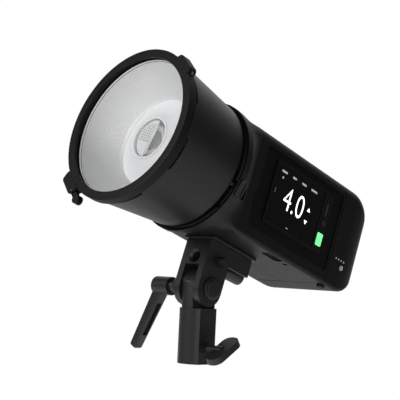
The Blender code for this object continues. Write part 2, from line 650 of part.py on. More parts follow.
def make_mount(frame):
    """Mount ring with its screws, the release slider on the collar and the lock pin."""
    bore = BAYONET_R + GAP
    rim = COLLAR_R - COLLAR_WALL - GAP - 1.0 * MM
    back_y = MOUNT_FACE_Y + MOUNT_THICK
    ring = turned("mount_ring", [
        (bore, MOUNT_FACE_Y), (rim, MOUNT_FACE_Y), (rim, back_y), (bore, back_y),
    ], "black", frame)
    for number, angle in enumerate(MOUNT_SCREW_ANGLES, 1):
        hole = rod(MOUNT_SCREW_R + GAP, (MOUNT_SCREW_RING_R, MOUNT_FACE_Y - GAP, 0),
                   (MOUNT_SCREW_RING_R, back_y + GAP, 0), 16)
        cut(ring, frame, polar(hole, angle))
        screw = rod(MOUNT_SCREW_R, (MOUNT_SCREW_RING_R, MOUNT_FACE_Y + 1.2 * MM, 0),
                    (MOUNT_SCREW_RING_R, back_y + 2.0 * MM, 0), 16)
        add_part(f"mount_screw_{number}", polar(screw, angle), "steel", frame)
    pin_r = rim - LOCK_PIN_R - 1.6 * MM
    notch_low = (pin_r - LOCK_PIN_R - GAP, MOUNT_FACE_Y - GAP, -3.6 * MM)
    notch_high = (rim + 2.0 * MM, back_y + GAP, 3.6 * MM)
    cut(ring, frame, polar(block(notch_low, notch_high), RELEASE_ANGLE))
    pin = rod(LOCK_PIN_R, (pin_r, MOUNT_FACE_Y - 1.8 * MM, 0), (pin_r, back_y + 1.0 * MM, 0), 16)
    add_part("lock_pin", polar(pin, RELEASE_ANGLE), "steel", frame)
    half_length, half_thick = 0.47 * RELEASE_LENGTH, 1.3 * MM
    corner = Vector((half_thick, half_length, RELEASE_WIDTH / 2))
    slider = block(-corner, corner, 0, 1.2 * MM, 2)
    slider.transform(Matrix.Rotation(RELEASE_SLOPE, 4, "Z"))
    slider.transform(Matrix.Translation((RELEASE_R, RELEASE_FRONT_Y + RELEASE_LENGTH / 2, 0.0)))
    add_part("release_slider", polar(slider, RELEASE_ANGLE), "body", frame)


def make_body(frame):
    """Front collar, the two casing halves and the rear bulkhead."""
    front, end = COLLAR_FRONT_Y, COLLAR_END_Y
    rings = [collar_ring(front, COLLAR_R, 0.0)]
    steps = 4
    for i in range(steps + 1):
        share = i / steps
        smooth = share * share * (3 - 2 * share)
        y = front + COLLAR_ROUND + (COLLAR_LENGTH - COLLAR_ROUND) * share
        rings.append(collar_ring(y, COLLAR_R, smooth))
    rings.append(collar_ring(end + 2 * COLLAR_WALL, COLLAR_R, 1.0))
    collar = shell("front_collar", loft(rings), COLLAR_WALL, "body", frame)
    slot_low = (COLLAR_R - 12 * MM, RELEASE_FRONT_Y - GAP, -RELEASE_WIDTH / 2 - GAP)
    slot_high = (COLLAR_R + 6 * MM, RELEASE_FRONT_Y + RELEASE_LENGTH + RELEASE_TRAVEL + GAP,
                 RELEASE_WIDTH / 2 + GAP)
    reach = 2 * HALF_WIDTH
    beyond = block((-reach, end, -reach), (reach, end + reach, reach))
    cut(collar, frame, polar(block(slot_low, slot_high, 0, 1.2 * MM, 2), RELEASE_ANGLE), beyond)
    rings = [body_ring(BODY_START_Y), body_ring(BODY_END_Y)]
    for name, side in (("casing_display_side", 1), ("casing_far_side", -1)):
        half = shell(name, loft(rings), BODY_WALL, "body", frame)
        edges = sorted((side * GAP / 2, -side * reach))
        cut(half, frame, block((edges[0], 0.0, -reach), (edges[1], BODY_END_Y + reach, reach)))
        if side > 0:
            cut_panel_window(half, frame)
            cut_port_window(half, frame)
    inset = BODY_WALL + GAP
    rings = [body_ring(BODY_END_Y - 5.0 * MM, inset), body_ring(BODY_END_Y - 3.0 * MM, inset)]
    add_part("rear_bulkhead", close_front(loft(rings, True)), "black", frame)


def close_front(mesh):
    """Close the open front end of a capped loft."""
    bm = bmesh.new()
    bm.from_mesh(mesh)
    edges = [edge for edge in bm.edges if edge.is_boundary]
    bmesh.ops.contextual_create(bm, geom=edges)
    return mesh_from(bm)


def cut_panel_window(half, frame):
    """Window for the side panel, with a notch at its front edge for the small window."""
    low = (HALF_WIDTH - 2 * BODY_WALL, PANEL_FRONT_Y - GAP, PANEL_LOW - GAP)
    high = (HALF_WIDTH + BODY_WALL, PANEL_END_Y + GAP, PANEL_HIGH + GAP)
    width, height = WINDOW_SIZE
    notch_low = (low[0], PANEL_FRONT_Y - 1.6 * MM - GAP, WINDOW_Z - height / 2 - GAP)
    notch_high = (high[0], PANEL_FRONT_Y + width, WINDOW_Z + height / 2 + GAP)
    cut(half, frame, block(low, high, 0, 3.0 * MM), block(notch_low, notch_high, 0, 1.4 * MM))


def cut_port_window(half, frame):
    """Window in the underside for the socket panel."""
    width, length = PORT_SIZE
    low = (PORT_X - width / 2, PORT_FRONT_Y, -BODY_BOTTOM - BODY_WALL)
    high = (PORT_X + width / 2, PORT_FRONT_Y + length, -BODY_BOTTOM + 2 * BODY_WALL)
    cut(half, frame, block(low, high, 2, 2.2 * MM))


def make_side(frame):
    """Side panel with the screen, its bezel, the control strip, the buttons and the small window."""
    back_x = PANEL_FACE_X - PANEL_THICK
    panel = side_slab("side_panel", (PANEL_FRONT_Y, PANEL_END_Y), (PANEL_LOW, PANEL_HIGH),
                      (back_x, PANEL_FACE_X), 2.8 * MM, "body", frame)
    inside, outside = back_x - MM, HALF_WIDTH + MM
    width, height = WINDOW_SIZE
    window_front = PANEL_FRONT_Y - 1.6 * MM
    tools = [
        block((inside, SCREEN_FRONT_Y - GAP, SCREEN_LOW - GAP),
              (outside, SCREEN_END_Y + GAP, SCREEN_HIGH + GAP)),
        block((inside, window_front - MM, WINDOW_Z - height / 2 - GAP),
              (outside, window_front + width + GAP, WINDOW_Z + height / 2 + GAP)),
    ]
    cut(panel, frame, *tools, *button_holes(inside, outside))
    side_slab("screen_glass", (SCREEN_FRONT_Y, SCREEN_END_Y), (SCREEN_LOW, SCREEN_HIGH),
              (PANEL_FACE_X - 1.2 * MM, HALF_WIDTH), 1.2 * MM, "screen", frame)
    bezel_y = (SCREEN_FRONT_Y - GAP - BEZEL_WIDTH, SCREEN_END_Y + GAP + BEZEL_WIDTH)
    bezel_z = (SCREEN_LOW - GAP - BEZEL_WIDTH, SCREEN_HIGH + GAP + BEZEL_WIDTH)
    proud = (PANEL_FACE_X + GAP, HALF_WIDTH + 0.5 * MM)
    bezel = side_slab("screen_bezel", bezel_y, bezel_z, proud, 2.6 * MM, "body", frame)
    cut(bezel, frame, block((inside, SCREEN_FRONT_Y - GAP, SCREEN_LOW - GAP),
                            (outside, SCREEN_END_Y + GAP, SCREEN_HIGH + GAP), 0, 1.4 * MM))
    strip = side_slab("control_strip", (STRIP_FRONT_Y, STRIP_FRONT_Y + STRIP_LENGTH),
                      (bezel_z[0] + MM, bezel_z[1] - MM), (PANEL_FACE_X + GAP, HALF_WIDTH), 0.8 * MM,
                      "black", frame)
    cut(strip, frame, *button_holes(inside, outside))
    make_buttons(frame)
    window_z = (WINDOW_Z - height / 2, WINDOW_Z + height / 2)
    side_slab("panel_window", (window_front, window_front + width), window_z, (back_x, HALF_WIDTH), 1.2 * MM,
              "black", frame)
    width, length = PORT_SIZE
    low = (PORT_X - width / 2 + GAP, PORT_FRONT_Y + GAP, -BODY_BOTTOM + 1.2 * MM)
    high = (PORT_X + width / 2 - GAP, PORT_FRONT_Y + length - GAP, -BODY_BOTTOM + 3.0 * MM)
    ports = add_part("port_panel", block(low, high, 2, 1.9 * MM), "black", frame)
    jack_y = PORT_FRONT_Y + JACK_SETBACK
    cut(ports, frame, rod(JACK_R, (PORT_X, jack_y, low[2] - MM), (PORT_X, jack_y, high[2] + MM), 20))
    slot_y = jack_y + JACK_R + 1.8 * MM
    slot = block((PORT_X - DATA_PORT[0] / 2, slot_y, low[2] - MM),
                 (PORT_X + DATA_PORT[0] / 2, slot_y + DATA_PORT[1], high[2] + MM), 2, 1.5 * MM)
    cut(ports, frame, slot)


def button_holes(inside, outside):
    """Cutters for the two buttons' holes."""
    length, height = TEST_BUTTON
    low = (inside, BUTTON_Y - length / 2 - GAP, TEST_BUTTON_Z - height / 2 - GAP)
    high = (outside, BUTTON_Y + length / 2 + GAP, TEST_BUTTON_Z + height / 2 + GAP)
    power = rod(POWER_BUTTON_R + GAP, (inside, BUTTON_Y, POWER_BUTTON_Z),
                (outside, BUTTON_Y, POWER_BUTTON_Z), 20)
    return [block(low, high), power]


def make_buttons(frame):
    """Test and power buttons, which press inwards."""
    back_x, face_x = HALF_WIDTH + 0.4 * MM - BUTTON_DEPTH, HALF_WIDTH + 0.4 * MM
    length, height = TEST_BUTTON
    low = (back_x, BUTTON_Y - length / 2, TEST_BUTTON_Z - height / 2)
    high = (face_x, BUTTON_Y + length / 2, TEST_BUTTON_Z + height / 2)
    test = block(low, high, 0, 0.8 * MM, 2)
    add_part("test_button", test, "green", frame, (face_x, BUTTON_Y, TEST_BUTTON_Z))
    power = rod(POWER_BUTTON_R, (back_x, BUTTON_Y, POWER_BUTTON_Z), (face_x, BUTTON_Y, POWER_BUTTON_Z), 20)
    add_part("power_button", power, "black", frame, (face_x, BUTTON_Y, POWER_BUTTON_Z))


def make_internals(frame):
    """Frame plate, capacitors, boards, transformer, heat sink and fan."""
    floor_z = -BODY_BOTTOM + BODY_WALL + 5.0 * MM
    frame_x = HALF_WIDTH - BODY_WALL - CORNER_FAR_BOTTOM / 2
    front_y, end_y = BODY_START_Y + 4.0 * MM, BODY_END_Y - 8.0 * MM
    fan_y = end_y - FAN_DEPTH - 8.0 * MM
    board_end_y = fan_y - CAPACITOR_TO_FAN - 2.0 * MM
    floor = block((-frame_x, front_y, floor_z), (frame_x, end_y, floor_z + 2.0 * MM))
    add_part("inner_frame", floor, "aluminium", frame)
    rest_z = floor_z + 2.0 * MM + GAP + CAPACITOR_R
    for number, side in ((1, -1), (2, 1)):
        x = side * (CAPACITOR_R + MM)
        start = (x, front_y + 2.0 * MM, rest_z)
        end = (x, fan_y - CAPACITOR_TO_FAN, rest_z)
        add_part(f"capacitor_{number}", rod(CAPACITOR_R, start, end, 28), "sleeve", frame)
    board_z = rest_z + CAPACITOR_R + 2.0 * MM
    board_x = HALF_WIDTH - BODY_WALL - 12.0 * MM
    board = block((-board_x, front_y, board_z), (board_x, board_end_y, board_z + 1.6 * MM))
    add_part("main_board", board, "board", frame)
    part_z = board_z + 1.6 * MM + GAP
    coil = block((-28 * MM, front_y + 6 * MM, part_z), (0.0, front_y + 32 * MM, part_z + 20 * MM), 2, 2 * MM)
    add_part("trigger_transformer", coil, "sleeve", frame)
    sink = block((4 * MM, front_y + 4 * MM, part_z), (32 * MM, front_y + 52 * MM, part_z + 20 * MM))
    heat_sink = add_part("heat_sink", sink, "aluminium", frame)
    for i in range(4):
        x = (8.0 + 6.0 * i) * MM
        cut(heat_sink, frame, block((x, front_y, part_z + 4 * MM), (x + 3.4 * MM, end_y, part_z + 30 * MM)))
    display_x = PANEL_FACE_X - PANEL_THICK - 4.0 * MM
    add_part("display_board", block((display_x - 1.6 * MM, SCREEN_FRONT_Y, SCREEN_LOW),
                                    (display_x, STRIP_FRONT_Y + STRIP_LENGTH, SCREEN_HIGH)), "board", frame)
    make_fan(frame, fan_y)


def make_fan(frame, front_y):
    """Square fan frame and the rotor that spins in it."""
    half, back_y = FAN_SIZE / 2, front_y + FAN_DEPTH
    bore_r = half - 2.2 * MM
    square = block((-half, front_y, FAN_Z - half), (half, back_y, FAN_Z + half), 1, 4 * MM)
    housing = add_part("fan_frame", square, "black", frame)
    cut(housing, frame, rod(bore_r, (0, front_y - MM, FAN_Z), (0, back_y + MM, FAN_Z), 36))
    middle = (0.0, front_y + FAN_DEPTH / 2, FAN_Z)
    hub = rod(11 * MM, (0, front_y + MM, FAN_Z), (0, back_y - MM, FAN_Z), 24)
    rotor = add_part("fan_rotor", hub, "black", frame, middle)
    blades = 7
    for i in range(blades):
        blade = block((9 * MM, -0.6 * MM, -5 * MM), (bore_r - 1.2 * MM, 0.6 * MM, 5 * MM))
        blade.transform(Matrix.Rotation(math.radians(38), 4, "X"))
        polar(blade, i * math.tau / blades)
        blade.transform(Matrix.Translation(middle))
        join(rotor, frame, blade)


def make_battery(frame):
    """Battery case with its front plate, cells, gauge, check button and release button."""
    straight = BATTERY_END_Y - BATTERY_END_DEPTH
    middle_z, half_height = (BODY_TOP - BODY_BOTTOM) / 2, (BODY_TOP + BODY_BOTTOM) / 2
    rings = [body_ring(BATTERY_START_Y)]
    steps = 5
    for i in range(steps + 1):
        angle = math.radians(84.0) * i / steps
        drawn_in = 1.0 - math.cos(angle)
        width = 1.0 - BATTERY_END_SIDE * drawn_in / HALF_WIDTH
        height = 1.0 - BATTERY_END_RISE * drawn_in / half_height
        y = straight + BATTERY_END_DEPTH * math.sin(angle)
        rings.append([(x * width, y, middle_z + (z - middle_z) * height) for x, z in section()])
    case = shell("battery_case", loft(rings, True), BODY_WALL, "body", frame)
    inset = BODY_WALL + GAP
    rings = [body_ring(BATTERY_START_Y + GAP, inset), body_ring(BATTERY_START_Y + 2.4 * MM, inset)]
    front_plate = add_part("battery_front_plate", close_front(loft(rings, True)), "black", frame)
    pack_y = BATTERY_START_Y + 2.4 * MM + GAP
    low = (-CELL_PACK[0] / 2, pack_y, middle_z - CELL_PACK[2] / 2)
    high = (CELL_PACK[0] / 2, pack_y + CELL_PACK[1], middle_z + CELL_PACK[2] / 2)
    add_part("cell_pack", block(low, high, 0, 8.0 * MM), "sleeve", frame)
    inner_x = HALF_WIDTH - BODY_WALL
    first_y = BATTERY_START_Y + GAUGE_SETBACK
    last_y = first_y + (GAUGE_DOTS - 1) * GAUGE_PITCH
    bar = block((inner_x - 2.4 * MM, first_y - 2 * MM, GAUGE_Z - 1.5 * MM),
                (inner_x - 1.0 * MM, last_y + 2 * MM, GAUGE_Z + 1.5 * MM))
    gauge = add_part("charge_gauge", bar, "light_grey", frame)
    hole_r = GAUGE_DOT_R + GAP
    for i in range(GAUGE_DOTS):
        y = first_y + i * GAUGE_PITCH
        cut(case, frame, rod(hole_r, (inner_x - MM, y, GAUGE_Z), (HALF_WIDTH + MM, y, GAUGE_Z), 10))
        join(gauge, frame, rod(GAUGE_DOT_R, (inner_x - 2 * MM, y, GAUGE_Z), (HALF_WIDTH, y, GAUGE_Z), 10))
    check_y = last_y - 1.6 * MM
    cut(case, frame, rod(CHECK_BUTTON_R + GAP, (inner_x - MM, check_y, CHECK_BUTTON_Z),
                         (HALF_WIDTH + MM, check_y, CHECK_BUTTON_Z), 20))
    face = (HALF_WIDTH + 0.4 * MM, check_y, CHECK_BUTTON_Z)
    check = rod(CHECK_BUTTON_R, (inner_x - 1.6 * MM, check_y, CHECK_BUTTON_Z), face, 20)
    add_part("check_button", check, "light_grey", frame, face)
    latch_y = BATTERY_START_Y + LATCH_BUTTON_R + 1.2 * MM
    hole_top = -BODY_BOTTOM + BODY_WALL + MM
    for target, top in ((case, hole_top), (front_plate, hole_top + 3 * MM)):
        cut(target, frame, rod(LATCH_BUTTON_R + GAP, (LATCH_BUTTON_X, latch_y, -BODY_BOTTOM - MM),
                               (LATCH_BUTTON_X, latch_y, top), 24))
    foot = (LATCH_BUTTON_X, latch_y, -BODY_BOTTOM - 2.2 * MM)
    button = rod(LATCH_BUTTON_R, foot, (LATCH_BUTTON_X, latch_y, hole_top + MM), 24)
    add_part("battery_release_button", button, "black", frame, foot)


def bracket_outline():
    """Side view of the bracket block: a bar under the body with a round-ended ear."""
    top, low = BRACKET_TOP_Z, BRACKET_TOP_Z - BRACKET_BLOCK
    rear_y = BRACKET_FRONT_Y + BRACKET_LENGTH
    ear_back_y = RING_TO_PIVOT + EAR_BACK
    ear_r = (EAR_FRONT + EAR_BACK) / 2
    centre = (BRACKET_FRONT_Y + ear_r, PIVOT_Z - EAR_DROP + ear_r)
    ear = arc(centre, ear_r, 180, 360, 10)
    return [(BRACKET_FRONT_Y, top), *ear, (ear_back_y, low), (rear_y, low), (rear_y, top)]


def shaft_point(y):
    """Point on the umbrella shaft's axis at a distance back from the ring's face."""
    return (0.0, y, UMBRELLA_Z + (y - RING_TO_PIVOT) * math.tan(UMBRELLA_DROOP))


def make_bracket(frame):
    """Top plate, bracket block with its ears, umbrella tube and umbrella lock."""
    rear_y = BRACKET_FRONT_Y + BRACKET_LENGTH
    plate_top = -BODY_BOTTOM - GAP
    plate = block((-PLATE_WIDTH / 2, BRACKET_FRONT_Y - 0.6 * MM, plate_top - PLATE_THICK),
                  (PLATE_WIDTH / 2, rear_y + MM, plate_top))
    add_part("bracket_plate", plate, "bracket", frame)
    pivot = (0.0, RING_TO_PIVOT, PIVOT_Z)
    body = add_part("bracket_block", outline(bracket_outline(), EAR_WIDTH), "bracket", frame, pivot)
    slot_x = TONGUE_WIDTH / 2 + FRICTION_WASHER + 2 * GAP
    roof_z = PIVOT_Z + SLOT_ROOF
    ear_back_y = RING_TO_PIVOT + EAR_BACK
    channel_x = EAR_X - 3.2 * MM
    cut(
        body, frame,
        block((-slot_x, BRACKET_FRONT_Y - MM, PIVOT_Z - 2 * EAR_DROP), (slot_x, ear_back_y + MM, roof_z)),
        rod(PIVOT_R + GAP, (-EAR_WIDTH, RING_TO_PIVOT, PIVOT_Z), (EAR_WIDTH, RING_TO_PIVOT, PIVOT_Z), 24),
        rod(UMBRELLA_BORE_R, shaft_point(BRACKET_FRONT_Y - MM), shaft_point(ear_back_y), 24),
        rod(UMBRELLA_BORE_R + 2.4 * MM, shaft_point(BRACKET_FRONT_Y - 0.5 * MM),
            shaft_point(BRACKET_FRONT_Y + 1.9 * MM), 24, UMBRELLA_BORE_R - 0.05 * MM),
        rod(UMBRELLA_TUBE_R + GAP, shaft_point(ear_back_y - 6 * MM), shaft_point(rear_y + 4 * MM), 24),
        block((-channel_x, ear_back_y + 0.4 * MM, UMBRELLA_Z - 20 * MM),
              (channel_x, rear_y + MM, UMBRELLA_Z + 2 * MM)),
        rod(LOCK_STUD_R + GAP, (0, RING_TO_PIVOT, UMBRELLA_Z), (EAR_WIDTH, RING_TO_PIVOT, UMBRELLA_Z), 20),
    )
    tube_start, tube_end = ear_back_y - 6 * MM + GAP, RING_TO_PIVOT + UMBRELLA_TUBE_END
    pipe = rod(UMBRELLA_TUBE_R, shaft_point(tube_start), shaft_point(tube_end), 24)
    bore = rod(UMBRELLA_BORE_R, shaft_point(tube_start - MM), shaft_point(tube_end + MM), 24)
    cut(add_part("umbrella_tube", pipe, "bracket", frame), frame, bore)
    make_lock(frame)


def make_lock(frame):
    """Umbrella lock: a stud through the ear and the knob that turns it."""
    axis = (RING_TO_PIVOT, UMBRELLA_Z)
    start_x, knob_x = UMBRELLA_BORE_R + 0.7 * MM, EAR_X + 0.5 * MM + GAP
    stud_end = knob_x + LOCK_KNOB_LENGTH - 2.0 * MM
    stud = rod(LOCK_STUD_R, (start_x, *axis), (stud_end, *axis), 20)
    add_part("umbrella_lock_stud", stud, "steel", frame, (start_x, *axis))
    grip = rod(LOCK_KNOB_R, (knob_x, *axis), (knob_x + LOCK_KNOB_LENGTH, *axis), 28)
    knob = add_part("umbrella_lock_knob", grip, "bracket", frame, (knob_x, *axis))
    cut(knob, frame, rod(LOCK_STUD_R + GAP, (knob_x - MM, *axis), (stud_end + GAP, *axis), 20))


def make_pivot(frame):
    """Pivot bolt with its disc head, the boss and the spacer beside the lever, and the tilt lever."""
    boss_x = -EAR_X - GAP - BOSS_LENGTH
    spacer_x = boss_x - GAP - SPACER_LENGTH
    hub_x = spacer_x - GAP - LEVER_HUB_LENGTH
    bolt_x = hub_x + 3.6 * MM
    head_x = EAR_X + GAP
    place = new_empty("pivot_axis", frame, (0.0, RING_TO_PIVOT, PIVOT_Z))
    turned("pivot_bolt", [
        (0.0, bolt_x), (PIVOT_R, bolt_x), (PIVOT_R, head_x), (PIVOT_HEAD_R, head_x),
        (PIVOT_HEAD_R, head_x + 1.6 * MM), (PIVOT_HEAD_R - 1.4 * MM, head_x + 2.2 * MM),
        (PIVOT_HEAD_R - 2.4 * MM, head_x + 2.2 * MM), (PIVOT_HEAD_R - 2.4 * MM, head_x + 2.8 * MM),
        (0.0, head_x + 2.8 * MM),
    ], "bracket", place, steps=24, closed=False, axis_x=True)
    hole = PIVOT_R + GAP
    turned("pivot_boss", [
        (hole, boss_x), (PIVOT_HEAD_R - 1.6 * MM, boss_x), (PIVOT_HEAD_R, boss_x + 2.5 * MM),
        (PIVOT_HEAD_R, -EAR_X - GAP), (hole, -EAR_X - GAP),
    ], "bracket", place, steps=24, axis_x=True)
    turned("lever_spacer", [
        (hole, spacer_x), (SPACER_R, spacer_x), (SPACER_R, boss_x - GAP), (hole, boss_x - GAP),
    ], "steel", place, steps=24, axis_x=True)
    make_lever(hub_x, bolt_x)


def make_lever(hub_x, bolt_x):
    """Tilt lever: a hub on the bolt and a splayed arm with a channel in its inner face."""
    axis = new_empty("lever_axis", None, (0.0, 0.0, PIVOT_HEIGHT))
    hub_end = hub_x + LEVER_HUB_LENGTH
    lever = add_part("tilt_lever", rod(LEVER_HUB_R, (hub_x, 0, 0), (hub_end, 0, 0), 28), "bracket", axis)
    root = Matrix.Translation((hub_x + 0.4 * LEVER_HUB_LENGTH, 0.0, 0.0))
    place = root @ Matrix.Rotation(LEVER_SPLAY, 4, "Y")
    half_y, half_x, taper = 5.6 * MM, 4.8 * MM, 0.8
    bm = bmesh.new()
    size = (2 * half_x, 2 * half_y, LEVER_ARM_LENGTH, 1.0)
    bmesh.ops.create_cube(bm, size=1.0, matrix=Matrix.Diagonal(size))
    bmesh.ops.translate(bm, vec=(0.0, 0.0, -LEVER_ARM_LENGTH / 2), verts=bm.verts)
    tip = [vert for vert in bm.verts if vert.co.z < -LEVER_ARM_LENGTH / 2]
    bmesh.ops.scale(bm, vec=(taper, taper, 1.0), verts=tip)
    bmesh.ops.bevel(bm, geom=list(bm.edges), offset=1.6 * MM, segments=2, profile=0.5, affect="EDGES")
    bmesh.ops.transform(bm, matrix=place, verts=bm.verts)
    join(lever, axis, mesh_from(bm))
    channel_low = (1.6 * MM, -2.5 * MM, 14 * MM - LEVER_ARM_LENGTH)
    channel = block(channel_low, (9 * MM, 2.5 * MM, -15 * MM), 0, 1.0 * MM, 2)
    channel.transform(place)
    bore = rod(PIVOT_R + GAP, (bolt_x - GAP, 0, 0), (hub_end + MM, 0, 0), 24)
    cut(lever, axis, channel, bore)


def make_receiver():
    """Receiver with its stud bore and tongue, the friction washers and the wing clamp."""
    flat_x = RECEIVER_FLATS / 2
    body = add_part("receiver", rod(RECEIVER_R, (0, 0, 0), (0, 0, RECEIVER_SHOULDER), 40), "bracket", None)
    far = 3 * RECEIVER_R
    cut(body, None, block((flat_x, -far, -far), (far, far, far)))
    cut(body, None, block((-far, -far, -far), (-flat_x, far, far)))
    join(body, None, make_tongue())
    boss = rod(CLAMP_BOSS_R, (flat_x - 2 * MM, 0, CLAMP_HEIGHT), (flat_x + 1.1 * MM, 0, CLAMP_HEIGHT), 28)
    join(body, None, boss)
    cut(
        body, None,
        rod(STUD_BORE_R, (0, 0, -MM), (0, 0, STUD_BORE_DEPTH), 40),
        rod(CLAMP_STUD_R + GAP, (0, 0, CLAMP_HEIGHT), (far, 0, CLAMP_HEIGHT), 20),
        rod(PIVOT_R + GAP, (-far, 0, PIVOT_HEIGHT), (far, 0, PIVOT_HEIGHT), 24),
    )
    place = new_empty("washer_axis", None, (0.0, 0.0, PIVOT_HEIGHT))
    inner = TONGUE_WIDTH / 2 + GAP
    for name, side in (("friction_washer_display_side", 1), ("friction_washer_far_side", -1)):
        near, away = side * inner, side * (inner + FRICTION_WASHER)
        turned(name, [
            (PIVOT_R + GAP, near), (FRICTION_WASHER_R, near),
            (FRICTION_WASHER_R, away), (PIVOT_R + GAP, away),
        ], "steel", place, steps=20, axis_x=True)
    make_clamp(flat_x)


def make_tongue():
    """Tongue on the receiver: round in plan, flat sided, with a round end about the pivot."""
    low = RECEIVER_SHOULDER - 2 * MM
    bm = bmesh.new()
    bm.from_mesh(rod(TONGUE_R, (0, 0, low), (0, 0, PIVOT_HEIGHT + RECEIVER_R), 40))
    upright = mesh_from(bm)
    tongue = bpy.data.objects.new("tongue_source", upright)
    bpy.context.scene.collection.objects.link(tongue)
    side = [(-TONGUE_END_R, low - MM), (TONGUE_END_R, low - MM),
            *arc((0.0, PIVOT_HEIGHT), TONGUE_END_R, 0, 180, 16)]
    modifier = tongue.modifiers.new("sides", "BOOLEAN")
    modifier.operation = "INTERSECT"
    modifier.object = add_tool(outline(side, TONGUE_WIDTH), None)
    graph = bpy.context.evaluated_depsgraph_get()
    mesh = bpy.data.meshes.new_from_object(tongue.evaluated_get(graph))
    bpy.data.objects.remove(tongue, do_unlink=True)
    return mesh


def make_clamp(flat_x):
    """Clamp stud through the receiver's wall and the wing knob that turns it."""
    start_x, stem_x = STUD_BORE_R + 0.3 * MM, flat_x + 3.2 * MM
    stud_end = stem_x + 12 * MM
    origin = (start_x, 0.0, CLAMP_HEIGHT)
    stud = rod(CLAMP_STUD_R, origin, (stud_end, 0, CLAMP_HEIGHT), 20)
    add_part("clamp_stud", stud, "steel", None, origin)
    stem_r = CLAMP_STUD_R + 1.5 * MM
    wing_x = stem_x + 7 * MM
    stem = rod(stem_r, (stem_x, 0, CLAMP_HEIGHT), (stud_end + 3 * MM, 0, CLAMP_HEIGHT), 24)
    knob = add_part("wing_knob", stem, "bracket", None, (stem_x, 0.0, CLAMP_HEIGHT))
    middle = Matrix.Translation((wing_x + WING_DEPTH / 2, 0.0, CLAMP_HEIGHT))
    place = middle @ Matrix.Rotation(WING_ANGLE, 4, "X")
    wing = block((-WING_DEPTH / 2, -WING_SPAN / 2, -2.8 * MM), (WING_DEPTH / 2, WING_SPAN / 2, 2.8 * MM), 2,
                 WING_DEPTH * 0.42, 5)
    wing.transform(place)
    join(knob, None, wing)
    hole = rod(CLAMP_STUD_R + GAP, (stem_x - MM, 0, CLAMP_HEIGHT), (stud_end + GAP, 0, CLAMP_HEIGHT), 20)
    cut(knob, None, hole)


clear_scene()
parts_collection = new_collection(COLLECTION_NAME)
tools_collection = new_collection("cutters")
tilt_axis = new_empty("tilt_axis", None, (0.0, 0.0, PIVOT_HEIGHT), -TILT_REST)
optical_frame = new_empty("optical_frame", tilt_axis, (0.0, -RING_TO_PIVOT, AXIS_RISE))

make_accessory_ring(optical_frame)
make_reflector(optical_frame)
make_lamp(optical_frame)
make_mount(optical_frame)
make_body(optical_frame)
make_side(optical_frame)
make_internals(optical_frame)
make_battery(optical_frame)
make_bracket(optical_frame)
make_pivot(optical_frame)
make_receiver()
bpy.context.view_layer.update()
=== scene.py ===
"""Looks of the monolight strobe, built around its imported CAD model.

Head pieces are made in the head's own frame: x across it (+x is the display side), y backwards from
the front of the accessory ring, z up from the light axis. Stand pieces are made in world coordinates.
Sizes are in metres, and every place comes from the CAD nodes and joints.
"""
import json
import math

import bpy
from mathutils import Matrix, Vector


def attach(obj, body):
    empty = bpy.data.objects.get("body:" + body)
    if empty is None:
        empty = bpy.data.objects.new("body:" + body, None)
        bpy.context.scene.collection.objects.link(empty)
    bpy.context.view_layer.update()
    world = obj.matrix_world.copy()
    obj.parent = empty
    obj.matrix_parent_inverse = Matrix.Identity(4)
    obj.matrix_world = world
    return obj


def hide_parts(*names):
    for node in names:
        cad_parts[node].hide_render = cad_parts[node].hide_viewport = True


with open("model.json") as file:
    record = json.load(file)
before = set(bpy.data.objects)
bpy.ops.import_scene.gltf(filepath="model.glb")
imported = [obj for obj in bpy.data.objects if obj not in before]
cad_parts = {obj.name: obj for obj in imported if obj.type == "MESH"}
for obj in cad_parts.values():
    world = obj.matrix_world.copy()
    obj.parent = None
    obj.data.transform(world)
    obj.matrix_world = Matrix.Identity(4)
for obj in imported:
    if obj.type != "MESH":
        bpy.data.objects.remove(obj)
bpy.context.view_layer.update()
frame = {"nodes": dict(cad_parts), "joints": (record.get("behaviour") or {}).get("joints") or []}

MM = 0.001
JOINTS = {joint["name"]: joint for joint in frame["joints"]}
BACK = Vector(JOINTS["reflector_twist"]["axis"]).normalized()
UP = Vector((1.0, 0.0, 0.0)).cross(BACK)
STAND = Matrix.Identity(4)


def head_frame():
    """Matrix of the head's frame, with its origin on the light axis at the accessory ring's front face."""
    turn = Matrix((Vector((1.0, 0.0, 0.0)), BACK, UP)).transposed()
    on_axis = Vector(JOINTS["reflector_twist"]["pos_m"])
    front = min((vert.co - on_axis).dot(BACK) for vert in frame["nodes"]["accessory_ring"].data.vertices)
    return Matrix.Translation(on_axis + BACK * front) @ turn.to_4x4()


HEAD = head_frame()
HEAD_INVERSE = HEAD.inverted()


def span(node, place=HEAD_INVERSE):
    """Lowest and highest corners of a CAD node in the head's frame."""
    points = [place @ vert.co for vert in frame["nodes"][node].data.vertices]
    low = Vector([min(point[i] for point in points) for i in range(3)])
    high = Vector([max(point[i] for point in points) for i in range(3)])
    return low, high


# --------------------------------------------------------------------------------------------------
# Finishes
# --------------------------------------------------------------------------------------------------

class Wire:
    """A socket of a node graph that takes Python arithmetic."""

    def __init__(self, graph, socket):
        self.graph = graph
        self.socket = socket

    def _math(self, operation, other, swapped=False):
        pair = (other, self) if swapped else (self, other)
        return self.graph.node("ShaderNodeMath", {"operation": operation}, {0: pair[0], 1: pair[1]})

    def __add__(self, other):
        return self._math("ADD", other)

    def __radd__(self, other):
        return self._math("ADD", other, True)

    def __sub__(self, other):
        return self._math("SUBTRACT", other)

    def __rsub__(self, other):
        return self._math("SUBTRACT", other, True)

    def __mul__(self, other):
        return self._math("MULTIPLY", other)

    def __rmul__(self, other):
        return self._math("MULTIPLY", other, True)

    def above(self, edge):
        """1 where the value is over the edge, 0 elsewhere."""
        return self._math("GREATER_THAN", edge)

    def at_least(self, other):
        """The larger of two values."""
        return self._math("MAXIMUM", other)


